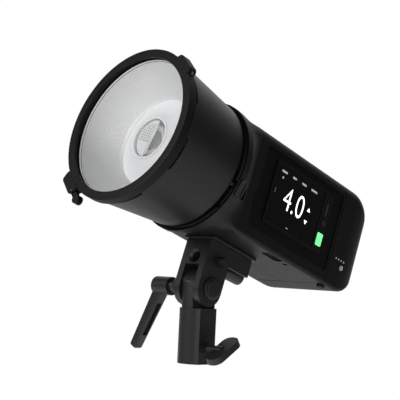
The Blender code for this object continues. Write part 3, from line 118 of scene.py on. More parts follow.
class Graph:
    """The node tree of a material or a world, whose last node is its shader."""

    def __init__(self, owner, shader):
        owner.use_nodes = True
        self.tree = owner.node_tree
        self.shader = self.tree.nodes[shader]

    def node(self, kind, settings=None, inputs=None, output=0):
        """Add a node, set it up, feed its sockets and return one of its outputs."""
        made = self.tree.nodes.new(kind)
        for name, value in (settings or {}).items():
            if name == "stops":
                self._set_stops(made.color_ramp.elements, value)
            else:
                setattr(made, name, value)
        for key, value in (inputs or {}).items():
            self._put(made.inputs[key], value)
        return Wire(self, made.outputs[output])

    def _set_stops(self, elements, stops):
        while len(elements) < len(stops):
            elements.new(0.5)
        for element, (position, colour) in zip(elements, stops):
            element.position = position
            element.color = colour

    def _put(self, socket, value):
        if isinstance(value, Wire):
            self.tree.links.new(value.socket, socket)
        else:
            socket.default_value = value

    def feed(self, **sockets):
        """Feed the shader's own sockets."""
        for name, value in sockets.items():
            self._put(self.shader.inputs[name.replace("_", " ")], value)


class Finish(Graph):
    """A Principled material whose varying sockets are fed by nodes."""

    def __init__(self, name, **constants):
        self.material = bpy.data.materials.new(name)
        super().__init__(self.material, "Principled BSDF")
        self.feed(**constants)

    def place(self, scale=(1.0, 1.0, 1.0), turn=(0.0, 0.0, 0.0), move=(0.0, 0.0, 0.0)):
        """Object coordinates, centred, turned or stretched."""
        coordinates = self.node("ShaderNodeTexCoord", output="Object")
        settings = {"Location": move, "Rotation": turn, "Scale": scale}
        return self.node("ShaderNodeMapping", {}, {"Vector": coordinates, **settings})

    def noise(self, size, detail=3.0, where=None, rough=0.5):
        """Cloudy variation whose blotches are about one size across."""
        inputs = {"Vector": where or self.place(), "Scale": 1.0 / size, "Detail": detail, "Roughness": rough}
        return self.node("ShaderNodeTexNoise", {}, inputs)

    def cells(self, size, where=None, feature="F1"):
        """Distance to the nearest of many scattered points."""
        inputs = {"Vector": where or self.place(), "Scale": 1.0 / size}
        return self.node("ShaderNodeTexVoronoi", {"feature": feature}, inputs)

    def blend(self, share, first, second):
        """Mix two colours by a share."""
        settings = {"data_type": "RGBA"}
        return self.node("ShaderNodeMix", settings, {0: share, 6: first, 7: second}, output=2)

    def bump(self, height, strength, depth):
        """Raise the surface by a height."""
        inputs = {"Strength": strength, "Distance": depth, "Height": height}
        return self.node("ShaderNodeBump", {}, inputs)


def grey(value, tint=0.0):
    """Grey, a little cooler or warmer by its tint."""
    return (value * (1.0 - tint), value, value * (1.0 + tint), 1.0)


def moulded(name, value, rough=0.5, grain=0.35 * MM, depth=0.02 * MM, tint=0.03, spread=0.12, shine=0.35):
    """Moulded plastic: a fine spark-eroded grain, slight cloudiness and a few rubbed patches."""
    finish = Finish(name, Metallic=0.0, IOR=1.5, Specular_IOR_Level=shine)
    fine = finish.noise(grain, 2.0)
    cloud = finish.noise(38 * MM, 3.0)
    rubbed = finish.noise(9 * MM, 4.0, rough=0.7)
    tone = finish.blend(cloud, grey(value * (1.0 - spread), tint), grey(value * (1.0 + spread), tint))
    finish.feed(
        Base_Color=tone,
        Roughness=rough - 0.05 + 0.10 * rubbed + 0.04 * fine,
        Normal=finish.bump(fine, 0.5, depth),
    )
    return finish.material


def painted(name, value, rough=0.4, metal=0.2, grain=0.6 * MM, depth=0.015 * MM, spread=0.10, shine=0.5):
    """Powder-coated metal: soft orange peel over a fine fleck."""
    finish = Finish(name, IOR=1.5, Specular_IOR_Level=shine)
    peel = finish.noise(grain * 3, 1.0)
    fleck = finish.cells(grain)
    wear = finish.noise(14 * MM, 4.0, rough=0.65)
    dust = finish.blend(wear, grey(value * (1.0 - spread), 0.01), grey(value * (1.0 + spread), 0.01))
    finish.feed(
        Base_Color=dust,
        Metallic=metal + 0.06 * fleck,
        Roughness=rough - 0.04 + 0.08 * wear + 0.05 * fleck,
        Normal=finish.bump(peel * 0.7 + fleck * 0.5, 0.45, depth),
    )
    return finish.material


def plated(name, colour, rough=0.25, grain=0.25 * MM):
    """Plated or turned steel with faint tool marks."""
    finish = Finish(name, Metallic=1.0)
    marks = finish.noise(grain, 2.0, finish.place(scale=(1.0, 8.0, 1.0)))
    stain = finish.noise(4 * MM, 3.0)
    dark = (colour[0] * 0.8, colour[1] * 0.8, colour[2] * 0.8, 1.0)
    finish.feed(
        Base_Color=finish.blend(stain, dark, (*colour, 1.0)),
        Roughness=rough + 0.12 * marks,
        Normal=finish.bump(marks, 0.2, 0.01 * MM),
    )
    return finish.material


def pebbled_silver():
    """Bowl of the reflector: satin silver with a fine hammered grain."""
    finish = Finish("pebbled_silver", Metallic=0.75)
    pebble = finish.cells(1.1 * MM, feature="SMOOTH_F1")
    fine = finish.noise(0.6 * MM, 2.0)
    cloud = finish.noise(30 * MM, 2.0)
    speckle = finish.blend(fine, (0.66, 0.665, 0.67, 1.0), (1.0, 1.0, 1.0, 1.0))
    finish.feed(
        Base_Color=finish.blend(0.35 * cloud, speckle, (0.80, 0.80, 0.81, 1.0)),
        Roughness=0.50 + 0.12 * fine,
        Normal=finish.bump(pebble + fine * 1.2, 1.0, 0.30 * MM),
    )
    return finish.material


def glossy(name, colour, rough=0.25, metal=0.0, coat=0.4, light=0.0):
    """Smooth moulding with a slight cast, lit from behind if it glows."""
    finish = Finish(name, Metallic=metal, Coat_Weight=coat, Coat_Roughness=0.12, Emission_Strength=light)
    cast = finish.noise(5 * MM, 2.0)
    dark = (colour[0] * 0.93, colour[1] * 0.93, colour[2] * 0.93, 1.0)
    tone = finish.blend(cast, dark, (*colour, 1.0))
    finish.feed(Base_Color=tone, Roughness=rough + 0.06 * cast)
    if light:
        finish.feed(Emission_Color=tone)
    return finish.material


def clear_glass(name, body):
    """Thin clear glass with faint waves. The body is how much it veils what is behind it."""
    finish = Finish(name, IOR=1.45, Alpha=body)
    wave = finish.noise(6 * MM, 2.0)
    tone = finish.blend(wave, (0.93, 0.94, 0.95, 1.0), (0.98, 0.98, 0.98, 1.0))
    finish.feed(Base_Color=tone, Roughness=0.04 + 0.05 * wave, Normal=finish.bump(wave, 0.12, 0.1 * MM))
    return finish.material


def cover_glass():
    """Black cover glass of the display, with a slow polish variation and a few fine smears."""
    finish = Finish("cover_glass", Metallic=0.0, IOR=1.52, Coat_Weight=0.6, Coat_Roughness=0.03)
    smear = finish.noise(12 * MM, 4.0, rough=0.7)
    tone = finish.blend(smear, (0.0010, 0.0012, 0.0018, 1.0), (0.0018, 0.0021, 0.0030, 1.0))
    finish.feed(Base_Color=tone, Roughness=0.06 + 0.09 * smear)
    return finish.material


def board_lacquer():
    """Green lacquer over copper tracks."""
    finish = Finish("board_lacquer", Coat_Weight=0.3)
    tracks = finish.cells(3.0 * MM).above(0.32)
    tone = finish.blend(tracks, (0.02, 0.10, 0.05, 1.0), (0.05, 0.22, 0.10, 1.0))
    finish.feed(Base_Color=tone, Roughness=0.35 + 0.15 * tracks)
    return finish.material


LOOKS = {
    "casing": moulded("casing_plastic", 0.0055, rough=0.46, shine=0.22),
    "collar": moulded("collar_plastic", 0.007, rough=0.44, shine=0.3),
    "panel": moulded("panel_plastic", 0.003, rough=0.42, grain=0.25 * MM, shine=0.18),
    # Black plastic made darker still for recessed and inner parts: painted shade of the slots, gaps and
    # hollows they sit in.
    "recess": moulded("recess_plastic", 0.003, rough=0.6, shine=0.2),
    "ring": moulded("ring_plastic", 0.0045, rough=0.55, grain=0.45 * MM, depth=0.03 * MM, shine=0.2),
    "skirt": painted("skirt_paint", 0.010, rough=0.38, metal=0.0, grain=0.5 * MM, shine=0.28),
    "mount": painted("mount_paint", 0.007, rough=0.42, metal=0.1),
    "bracket": painted("bracket_paint", 0.020, rough=0.38, metal=0.2, grain=0.45 * MM),
    "rubber": moulded("soft_black", 0.005, rough=0.65),
    "silver": pebbled_silver(),
    "plate": glossy("plate_white", (0.80, 0.81, 0.825), rough=0.42, coat=0.05),
    # White of the dish's rolled rim and of the dome's rim. On the dome's rim it is a painted highlight of
    # the glass cover's edge.
    "rim": glossy("rim_white", (0.90, 0.90, 0.90), rough=0.3, coat=0.2),
    "glass": clear_glass("window_glass", 0.10),
    "tube_glass": clear_glass("tube_glass", 0.45),
    "frosted": glossy("frosted_glass", (0.80, 0.81, 0.82), rough=0.45, coat=0.0),
    "screen": cover_glass(),
    "lit_white": glossy("lit_white", (1.0, 1.0, 1.0), light=1.6),
    "lit_grey": glossy("lit_grey", (0.45, 0.47, 0.50), light=0.45),
    "lit_green": glossy("lit_green", (0.22, 0.95, 0.36), light=0.8),
    "button_dark": glossy("printed_grey", (0.09, 0.09, 0.095), rough=0.4, coat=0.0),
    "button_grey": glossy("button_grey", (0.45, 0.46, 0.48), rough=0.4, coat=0.0),
    "screen_well": moulded("screen_well", 0.005, rough=0.38, grain=0.2 * MM, shine=0.25),
    "steel": plated("bright_steel", (0.72, 0.72, 0.74)),
    "dark_steel": plated("dark_steel", (0.10, 0.10, 0.105), rough=0.35),
    "led": glossy("led_lens", (0.42, 0.42, 0.40), rough=0.3, coat=0.5),
    "ceramic": glossy("glazed_ceramic", (0.82, 0.81, 0.78), rough=0.35),
    "sleeve": glossy("printed_sleeve", (0.05, 0.07, 0.20), rough=0.35),
    "alloy": plated("milled_alloy", (0.75, 0.76, 0.77), rough=0.35),
    "board": board_lacquer(),
}


# --------------------------------------------------------------------------------------------------
# Shaping
# --------------------------------------------------------------------------------------------------

def clear_selection():
    """Leave edit mode with nothing selected."""
    if bpy.context.object and bpy.context.object.mode != "OBJECT":
        bpy.ops.object.mode_set(mode="OBJECT")
    bpy.ops.object.select_all(action="DESELECT")


def open_piece(piece):
    """Open one piece in edit mode with nothing selected in it."""
    clear_selection()
    bpy.context.view_layer.objects.active = piece
    piece.select_set(True)
    bpy.ops.object.mode_set(mode="EDIT")
    bpy.ops.mesh.select_mode(type="VERT")
    bpy.ops.mesh.select_all(action="DESELECT")


def close_piece(mend=False):
    """Leave edit mode, merging doubles and turning faces outwards if asked."""
    if mend:
        bpy.ops.mesh.select_all(action="SELECT")
        bpy.ops.mesh.remove_doubles(threshold=0.004 * MM)
        bpy.ops.mesh.normals_make_consistent(inside=False)
    bpy.ops.object.mode_set(mode="OBJECT")
    return bpy.context.object


def pick(piece, wanted, kind="vertices"):
    """Select the vertices, edges or faces that a test wants, from edit mode."""
    bpy.ops.mesh.select_all(action="DESELECT")
    modes = {"vertices": "VERT", "edges": "EDGE", "faces": "FACE"}
    bpy.ops.mesh.select_mode(type=modes[kind])
    bpy.ops.object.mode_set(mode="OBJECT")
    mesh = piece.data
    for part in getattr(mesh, kind):
        points = [part.co] if kind == "vertices" else [mesh.vertices[i].co for i in part.vertices]
        part.select = wanted(points) if kind != "faces" else wanted(points, part.normal)
    bpy.ops.object.mode_set(mode="EDIT")


def spun(name, profile, steps=144, closed=True):
    """Turned piece about y: one vertex is extruded along (radius, y) points, and the line is spun."""
    clear_selection()
    bpy.ops.mesh.primitive_plane_add(size=MM)
    piece = bpy.context.object
    piece.name = name
    open_piece(piece)
    bpy.ops.mesh.select_all(action="SELECT")
    bpy.ops.mesh.merge(type="CENTER")
    here = Vector((profile[0][0], profile[0][1], 0.0))
    bpy.ops.transform.translate(value=here)
    for radius, y in profile[1:] + (profile[:1] if closed else []):
        step = Vector((radius, y, 0.0)) - here
        bpy.ops.mesh.extrude_region_move(TRANSFORM_OT_translate={"value": step})
        here += step
    bpy.ops.mesh.select_all(action="SELECT")
    bpy.ops.mesh.spin(steps=steps, angle=math.tau, center=(0.0, 0.0, 0.0), axis=(0.0, 1.0, 0.0))
    return close_piece(mend=True)


def slab(name, low, high, axis=None, radius=0.0, steps=6, edge=0.0, edge_steps=2):
    """Box from corner to corner. Edges along one axis are rounded, and then the rest get a small edge."""
    low, high = Vector(low), Vector(high)
    clear_selection()
    bpy.ops.mesh.primitive_cube_add(size=1.0, location=(low + high) / 2)
    piece = bpy.context.object
    piece.name = name
    piece.scale = high - low
    bpy.ops.object.transform_apply(location=True, rotation=True, scale=True)
    if axis is not None and radius:
        reach = (high - low)[axis] * 0.5
        open_piece(piece)
        pick(piece, lambda points: abs((points[0] - points[1])[axis]) > reach, "edges")
        bpy.ops.mesh.bevel(offset=radius, segments=steps, affect="EDGES")
        close_piece()
    if edge:
        soften(piece, edge, edge_steps)
    return piece


def rod(name, radius, start, end, sides=48, edge=0.0, end_radius=None):
    """Cylinder or cone between two points, with its rims broken."""
    start, end = Vector(start), Vector(end)
    clear_selection()
    turn = (end - start).to_track_quat("Z", "Y").to_euler()
    bpy.ops.mesh.primitive_cone_add(
        vertices=sides, radius1=radius, radius2=radius if end_radius is None else end_radius,
        depth=(end - start).length, location=(start + end) / 2, rotation=turn,
    )
    piece = bpy.context.object
    piece.name = name
    bpy.ops.object.transform_apply(location=True, rotation=True, scale=True)
    if edge:
        soften(piece, edge)
    return piece


def apply_modifier(piece, kind, **settings):
    """Add one modifier and apply it at once."""
    clear_selection()
    bpy.context.view_layer.objects.active = piece
    piece.select_set(True)
    modifier = piece.modifiers.new(kind.lower(), kind)
    for key, value in settings.items():
        setattr(modifier, key, value)
    bpy.ops.object.modifier_apply(modifier=modifier.name)
    return piece


def soften(piece, width, segments=2, angle=35.0):
    """Round every edge that is sharper than an angle."""
    return apply_modifier(piece, "BEVEL", width=width, segments=segments, limit_method="ANGLE",
                          angle_limit=math.radians(angle), use_clamp_overlap=True, miter_outer="MITER_ARC")


def carve(piece, *cutters, operation="DIFFERENCE"):
    """Cut, join or intersect with other pieces, which are used up."""
    for cutter in cutters:
        apply_modifier(piece, "BOOLEAN", operation=operation, object=cutter, solver="EXACT")
        bpy.data.objects.remove(cutter, do_unlink=True)
    return piece


def fuse(piece, *others):
    """Weld other pieces on."""
    return carve(piece, *others, operation="UNION")


def turn_piece(piece, angle, axis="Y", about=(0.0, 0.0, 0.0)):
    """Turn a piece about an axis through a point and fix the turn in its mesh."""
    about = Vector(about)
    turn = Matrix.Translation(about) @ Matrix.Rotation(angle, 4, axis) @ Matrix.Translation(-about)
    return move_piece(piece, turn)


def move_piece(piece, matrix):
    """Move a piece by a matrix and fix the move in its mesh."""
    clear_selection()
    piece.matrix_world = matrix @ piece.matrix_world
    bpy.context.view_layer.objects.active = piece
    piece.select_set(True)
    bpy.ops.object.transform_apply(location=True, rotation=True, scale=True)
    return piece


def at_angle(piece, degrees):
    """Swing a piece made at +x around the light axis, towards +z."""
    return turn_piece(piece, -math.radians(degrees))


def copy_of(piece, name):
    """Copy with its own mesh."""
    twin = piece.copy()
    twin.data = piece.data.copy()
    twin.name = name
    bpy.context.scene.collection.objects.link(twin)
    return twin


def gather(name, pieces):
    """Join pieces into one object."""
    clear_selection()
    for piece in pieces:
        piece.select_set(True)
    bpy.context.view_layer.objects.active = pieces[0]
    bpy.ops.object.join()
    pieces[0].name = name
    return pieces[0]


def finish_piece(piece, body, look, *nodes, place=HEAD, smooth=32.0):
    """Seat a piece on the object: place, shading, finish, body and the CAD nodes it stands for."""
    move_piece(piece, place)
    clear_selection()
    bpy.context.view_layer.objects.active = piece
    piece.select_set(True)
    bpy.ops.object.shade_smooth_by_angle(angle=math.radians(smooth))
    apply_modifier(piece, "WEIGHTED_NORMAL", keep_sharp=True)
    piece.data.materials.clear()
    piece.data.materials.append(LOOKS[look])
    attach(piece, body)
    if nodes:
        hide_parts(*nodes)
    return piece


def refined(node, name, body, look, edge=0.4 * MM, segments=2, place=STAND):
    """Copy of a CAD node with its triangles dissolved and its edges rounded, which then stands for it."""
    piece = copy_of(frame["nodes"][node], name)
    piece.data.materials.clear()
    for modifier in list(piece.modifiers):
        piece.modifiers.remove(modifier)
    open_piece(piece)
    bpy.ops.mesh.select_all(action="SELECT")
    bpy.ops.mesh.remove_doubles(threshold=0.002 * MM)
    bpy.ops.mesh.dissolve_limited(angle_limit=math.radians(1.0))
    bpy.ops.mesh.normals_make_consistent(inside=False)
    close_piece()
    if edge:
        soften(piece, edge, segments)
    return finish_piece(piece, body, look, node, place=place)


def middle(node):
    """Centre of a CAD node's vertices in the head's frame."""
    points = [HEAD_INVERSE @ vert.co for vert in frame["nodes"][node].data.vertices]
    return sum(points, Vector()) / len(points)


def radius_at(node, y, reach=0.3 * MM):
    """Largest distance of a CAD node's vertices from the light axis near one depth."""
    points = [HEAD_INVERSE @ vert.co for vert in frame["nodes"][node].data.vertices]
    return max(math.hypot(point.x, point.z) for point in points if abs(point.y - y) < reach)


def bore_of(node):
    """Smallest distance of a CAD node's vertices from the light axis."""
    points = [HEAD_INVERSE @ vert.co for vert in frame["nodes"][node].data.vertices]
    return min(math.hypot(point.x, point.z) for point in points)


def cross_rod(name, radius, centre, start, end, sides=48, edge=0.0):
    """Rod along x through a centre's y and z."""
    return rod(name, radius, (start, centre.y, centre.z), (end, centre.y, centre.z), sides, edge)


def widened(low, high, gap, start, end):
    """Corners of a cutter that passes from one x to another with a gap around a CAD node's sides."""
    return (start, low.y - gap, low.z - gap), (end, high.y + gap, high.z + gap)


# --------------------------------------------------------------------------------------------------
# Reflector and accessory ring
# --------------------------------------------------------------------------------------------------

RING_LOW, RING_HIGH = span("accessory_ring")
RING_R = RING_HIGH.x
LATCH_PIN = HEAD_INVERSE @ Vector(JOINTS["ring_latch_swing"]["pos_m"])
LATCH_PIN_Z = 8.3 * MM              # the pin is this far along the block from its middle
LATCH_PIN_R = math.sqrt(LATCH_PIN.x ** 2 + LATCH_PIN.z ** 2 - LATCH_PIN_Z ** 2)
LATCH_ANGLE = math.degrees(math.atan2(LATCH_PIN.z, LATCH_PIN.x) - math.atan2(LATCH_PIN_Z, LATCH_PIN_R))
LUG_ANGLE = 48.0
SLOT_COUNT = 7
SLOT_PHASE = -22.0


def make_accessory_ring():
    """Clamp ring with its latch block and its hinge lug."""
    depth = RING_HIGH.y
    lip, bore = RING_R - 7.2 * MM, RING_R - 2.4 * MM
    ring = spun("accessory_ring_shell", [
        (lip, 0.5 * MM), (lip + 0.15 * MM, 0.15 * MM), (lip + 0.5 * MM, 0.0), (RING_R - 1.0 * MM, 0.0),
        (RING_R - 0.3 * MM, 0.3 * MM), (RING_R, 1.0 * MM), (RING_R, depth - 0.5 * MM),
        (RING_R - 0.5 * MM, depth), (bore, depth), (bore, 2.6 * MM), (lip, 2.6 * MM),
    ], steps=180)
    block = slab("latch_block", (RING_R - 1.0 * MM, 0.6 * MM, -11.5 * MM),
                 (RING_R + 8.4 * MM, depth - 0.4 * MM, 11.5 * MM))
    open_piece(block)
    pick(block, lambda points: points[0].x > RING_R + 2.0 * MM)
    bpy.ops.transform.resize(value=(1.0, 1.0, 0.84), center_override=(RING_R, 0.0, 0.0))
    pick(block, lambda points: abs((points[0] - points[1]).y) > 2.0 * MM, "edges")
    bpy.ops.mesh.bevel(offset=2.4 * MM, segments=6, affect="EDGES")
    close_piece()
    lug = slab("hinge_lug", (RING_R - 6.0 * MM, 0.08 * MM, -11.0 * MM),
               (RING_R + 3.6 * MM, depth - 0.4 * MM, 11.0 * MM), 1, 4.2 * MM, 10)
    slot = slab("latch_slot", (RING_R + 0.8 * MM, 2.3 * MM, 3.9 * MM),
                (RING_R + 12.0 * MM, 5.9 * MM, 16.0 * MM))
    carve(block, slot)
    soften(block, 0.35 * MM)
    fuse(ring, at_angle(block, LATCH_ANGLE))
    soften(lug, 0.35 * MM)
    finish_piece(at_angle(lug, LUG_ANGLE), "reflector", "ring")
    split = slab("ring_split", (lip - MM, -MM, -0.25 * MM), (RING_R + 0.9 * MM, depth + MM, 0.25 * MM))
    carve(ring, at_angle(split, LATCH_ANGLE + 7.5))
    finish_piece(ring, "reflector", "ring", "accessory_ring")
    make_latch_lever()
    pin_x, pin_y = RING_R + 0.6 * MM, depth / 2
    pin = rod("lug_pin", 1.3 * MM, (pin_x, pin_y, -11.8 * MM), (pin_x, pin_y, 11.4 * MM), 32, 0.3 * MM)
    finish_piece(at_angle(pin, LUG_ANGLE), "reflector", "dark_steel")


def make_latch_lever():
    """Little lever with a roller at its tip, on a pin through the latch block."""
    x, z, tip_z = LATCH_PIN_R, LATCH_PIN_Z, LATCH_PIN_Z + 10.2 * MM
    low, high = RING_LOW.y + 1.2 * MM, RING_HIGH.y - 1.4 * MM
    arm = slab("latch_arm", (x - 2.6 * MM, 2.6 * MM, z - 2.4 * MM),
               (x + 2.6 * MM, 5.6 * MM, tip_z), 1, 2.2 * MM)
    roller = rod("latch_roller", 3.7 * MM, (x, low, tip_z), (x, high, tip_z), edge=0.5 * MM)
    groove = rod("latch_groove", 4.0 * MM, (x, 3.5 * MM, tip_z), (x, 4.7 * MM, tip_z))
    hub = rod("latch_groove_core", 2.5 * MM, (x, 3.3 * MM, tip_z), (x, 4.9 * MM, tip_z))
    carve(groove, hub)
    carve(roller, groove)
    soften(arm, 0.3 * MM)
    fuse(arm, roller)
    carve(arm, rod("latch_bore", 1.15 * MM, (x, 0.0, z), (x, RING_HIGH.y, z)))
    finish_piece(at_angle(arm, LATCH_ANGLE), "latch", "ring", "latch_lever")
    pin = rod("latch_pin_steel", 1.0 * MM, (x, 0.3 * MM, z), (x, RING_HIGH.y - 0.3 * MM, z), 32, 0.25 * MM)
    finish_piece(at_angle(pin, LATCH_ANGLE), "reflector", "dark_steel", "latch_pin")


def hex_screw(name, radius, length):
    """Socket screw along +y, its head's face at y = 0 with a hexagonal socket in it."""
    screw = rod(name, radius, (0.0, 0.0, 0.0), (0.0, length, 0.0), 48, 0.12 * radius)
    clear_selection()
    bpy.ops.mesh.primitive_cylinder_add(vertices=6, radius=0.52 * radius, depth=radius,
                                        rotation=(math.pi / 2, 0.0, 0.0))
    socket = bpy.context.object
    bpy.ops.object.transform_apply(location=True, rotation=True, scale=True)
    return carve(screw, socket)


def make_skirt():
    """Conical skirt with seven vent slots, a rolled rear edge and the toothed band behind the slots."""
    low, high = span("reflector_skirt")
    front_r, end = high.x, high.y
    neck_r, step_y = RING_R - 2.7 * MM, RING_HIGH.y + 0.3 * MM
    roll, wall = 3.4 * MM, 1.5 * MM
    rear_r = radius_at("reflector_skirt", end - roll)
    bore = bore_of("reflector_skirt")
    turns = [math.radians(10.0 * i) for i in range(10)]
    roll_r, roll_y, inner = rear_r - roll, end - roll, roll - wall
    outer_roll = [(roll_r + roll * math.cos(a), roll_y + roll * math.sin(a)) for a in turns]
    inner_roll = [(roll_r + inner * math.cos(a), roll_y + inner * math.sin(a)) for a in turns]
    skirt = spun("skirt_shell", [
        (neck_r, low.y), (neck_r, step_y), (front_r - 0.4 * MM, step_y), (front_r, step_y + 0.4 * MM),
        *outer_roll, (bore, end), (bore, end - wall), *reversed(inner_roll),
        (front_r - wall, step_y + wall), (neck_r - wall, step_y), (neck_r - wall, low.y),
    ], steps=168)
    slots = []
    teeth = []
    for i in range(SLOT_COUNT):
        angle = SLOT_PHASE + i * 360.0 / SLOT_COUNT
        slot = slab(f"slot_{i}", (front_r - 6 * MM, step_y - 0.6 * MM, -13.5 * MM),
                    (front_r + 3 * MM, step_y + 3.0 * MM, 13.5 * MM), 0, 1.2 * MM)
        slots.append(at_angle(slot, angle))
        for j in range(9):
            tooth = slab("vent_tooth", (front_r - 5.0 * MM, step_y - 0.2 * MM, -0.45 * MM),
                         (front_r - 2.4 * MM, step_y + 2.6 * MM, 0.45 * MM), edge=0.15 * MM)
            teeth.append(at_angle(tooth, angle - 9.6 + 2.4 * j))
    carve(skirt, gather("slots", slots))
    finish_piece(skirt, "reflector", "skirt", "reflector_skirt")
    # The teeth take the darkest plastic so that the vent slots read black: painted shade inside the slots.
    finish_piece(gather("vent_teeth", teeth), "reflector", "recess")


def make_dish():
    """Silver bowl whose back edge turns in over the lamp's plate, and its bright rolled rim."""
    low, high = span("reflector_dish")
    rim_r, lip_y, back_y = high.x, low.y, high.y
    back_r = radius_at("front_plate", span("front_plate")[0].y) + 0.8 * MM
    rim_inner, wall, steps = rim_r - 2.6 * MM, 0.9 * MM, 22
    mouth_y = lip_y + 2.6 * MM
    bowl = []
    for i in range(steps + 1):
        share = i / steps
        radius = rim_inner + (back_r - rim_inner) * share + 1.6 * MM * math.sin(math.pi * share)
        bowl.append((radius, mouth_y + (back_y - 2 * wall - mouth_y) * share))
    back = [(radius + wall, y + wall) for radius, y in reversed(bowl)]
    lip_r, lip_back = back_r - 1.6 * MM, back_y - 0.4 * MM
    lip = [(lip_r, back_y - wall), (lip_r, lip_back), (back_r + wall, lip_back)]
    dish = spun("dish_bowl", [*bowl, *lip, *back], steps=180)
    finish_piece(dish, "reflector", "silver", "reflector_dish", smooth=40.0)
    outer, front = rim_inner + 1.1 * MM, mouth_y - 1.6 * MM
    bead_inner, bead_back = rim_inner + 0.3 * MM, mouth_y - 0.3 * MM
    bead = [
        (bead_inner, bead_back), (bead_inner, front + 0.4 * MM), (rim_inner + 0.6 * MM, front),
        (outer - 0.3 * MM, front), (outer, front + 0.4 * MM), (outer, bead_back),
    ]
    finish_piece(spun("dish_rim", bead, steps=180), "reflector", "rim")
    flange_r, flange_front, flange_back = outer - 0.4 * MM, mouth_y - 0.6 * MM, mouth_y + 0.4 * MM
    flange = [(flange_r, flange_front), (rim_r, flange_front), (rim_r, flange_back), (flange_r, flange_back)]
    # Black flange, made darkest for the shade that falls in the gap between the ring and the bowl, which is
    # painted here.
    finish_piece(spun("dish_flange", flange, steps=120), "reflector", "recess")


def make_bayonet():
    """Ring with three hooks that plugs the reflector into the mount."""
    refined("reflector_bayonet", "bayonet_ring", "reflector", "dark_steel", 0.25 * MM)


# --------------------------------------------------------------------------------------------------
# Lamp
# --------------------------------------------------------------------------------------------------

def make_lamp():
    """White plate, glass dome with its rim, LED array, flash tube with its pins and the lamp socket."""
    low, high = span("front_plate")
    dome_low, dome_high = span("glass_dome")
    dome_r = dome_high.x - 2.4 * MM
    hole, face, back, front = dome_r + 0.1 * MM, low.y, high.y, dome_low.y
    edge, cone = high.x - 1.2 * MM, []
    for i in range(13):
        share = i / 12
        cone.append((hole + (edge - hole) * share, front + 1.0 * MM + (face - front - MM) * share ** 0.85))
    plate = spun("lamp_plate", [*cone, (high.x, face + 0.3 * MM), (high.x, back), (hole, back)], steps=144)
    finish_piece(plate, "head", "plate", "front_plate", smooth=40.0)
    # Bright white ring at the dome's front edge: a painted highlight that stands in for the glint on the
    # glass cover's edge.
    rim = spun("dome_rim", [
        (dome_r - 1.5 * MM, front + 1.9 * MM), (dome_r - 1.5 * MM, front + 0.3 * MM),
        (dome_r - 1.1 * MM, front), (dome_r - 0.3 * MM, front),
        (dome_r, front + 0.3 * MM), (dome_r, front + 1.9 * MM),
    ], steps=96)
    finish_piece(rim, "head", "rim")
    sleeve = spun("dome_sleeve", [
        (dome_r - 1.1 * MM, front + 2.0 * MM), (dome_r - 0.1 * MM, front + 2.0 * MM),
        (dome_r - 0.1 * MM, dome_high.y - 2.6 * MM), (dome_r - 1.1 * MM, dome_high.y - 2.6 * MM),
    ], steps=96)
    finish_piece(sleeve, "head", "frosted")
    make_dome(dome_low, dome_high, dome_r)
    make_led_array()
    make_flash_tube()
    refined("lamp_housing", "lamp_can", "head", "recess", 0.3 * MM)
    refined("lamp_socket", "socket_block", "head", "ceramic", 0.8 * MM)


CARRIER_LEAN = math.radians(14.0)      # of the LED carrier's straight edge, towards the display side


def make_dome(low, high, radius):
    """Glass cover inside the rim: a slightly crowned window and the flange that holds it."""
    front, wall = low.y + 0.5 * MM, 1.0 * MM
    reach = radius - 1.6 * MM
    crown = [(0.0, 0.4 * MM), (0.4, 0.34 * MM), (0.75, 0.18 * MM), (1.0, 0.0)]
    window = [(share * reach, front - rise) for share, rise in crown]
    inner = [(r, y + wall) for r, y in reversed(window)]
    glass = spun("dome_window", [*window, *inner], steps=96, closed=False)
    finish_piece(glass, "head", "glass", smooth=60.0)
    flange = spun("dome_flange", [
        (radius - 1.6 * MM, high.y - 2.2 * MM), (radius + 2.4 * MM, high.y - 2.2 * MM),
        (radius + 2.4 * MM, high.y), (radius - 1.6 * MM, high.y),
    ], steps=96)
    finish_piece(flange, "head", "frosted", "glass_dome")


def make_led_array():
    """White lamp board, and a carrier close behind the window with rows of modelling-light lenses."""
    high = span("led_board")[1]
    face = high.y - 1.6 * MM
    radius = radius_at("led_board", high.y)
    board = rod("lamp_board", radius, (0.0, face, 0.0), (0.0, high.y, 0.0), 96, 0.2 * MM)
    finish_piece(board, "head", "plate", "led_board")
    reach = span("glass_dome")[1].x - 4.6 * MM
    back = span("flash_tube")[0].y - 0.3 * MM
    front = back - 1.2 * MM
    carrier = rod("led_carrier", reach, (0.0, front, 0.0), (0.0, back, 0.0), 96)
    carve(carrier, slab("beyond", (-0.6 * MM, front - MM, -0.03), (0.03, back + MM, 0.03)))
    soften(carrier, 0.2 * MM)
    finish_piece(turn_piece(carrier, CARRIER_LEAN), "head", "plate")
    lenses = []
    for column in range(5):
        for row in range(8):
            x, z = (-2.6 - 2.5 * column) * MM, (-3.0 + 2.1 * row) * MM
            if math.hypot(x, z) < reach - 1.6 * MM:
                lenses.append(slab("led_lens", (x - 0.6 * MM, front - 0.35 * MM, z - 0.6 * MM),
                                   (x + 0.6 * MM, front + 0.1 * MM, z + 0.6 * MM), 1, 0.3 * MM, 3))
    finish_piece(turn_piece(gather("led_lenses", lenses), CARRIER_LEAN), "head", "led")
    half = 0.86 * reach
    trim = rod("carrier_trim", 0.5 * MM, (MM, front, -half), (MM, front, half), 24, 0.15 * MM)
    finish_piece(turn_piece(trim, CARRIER_LEAN), "head", "rim")


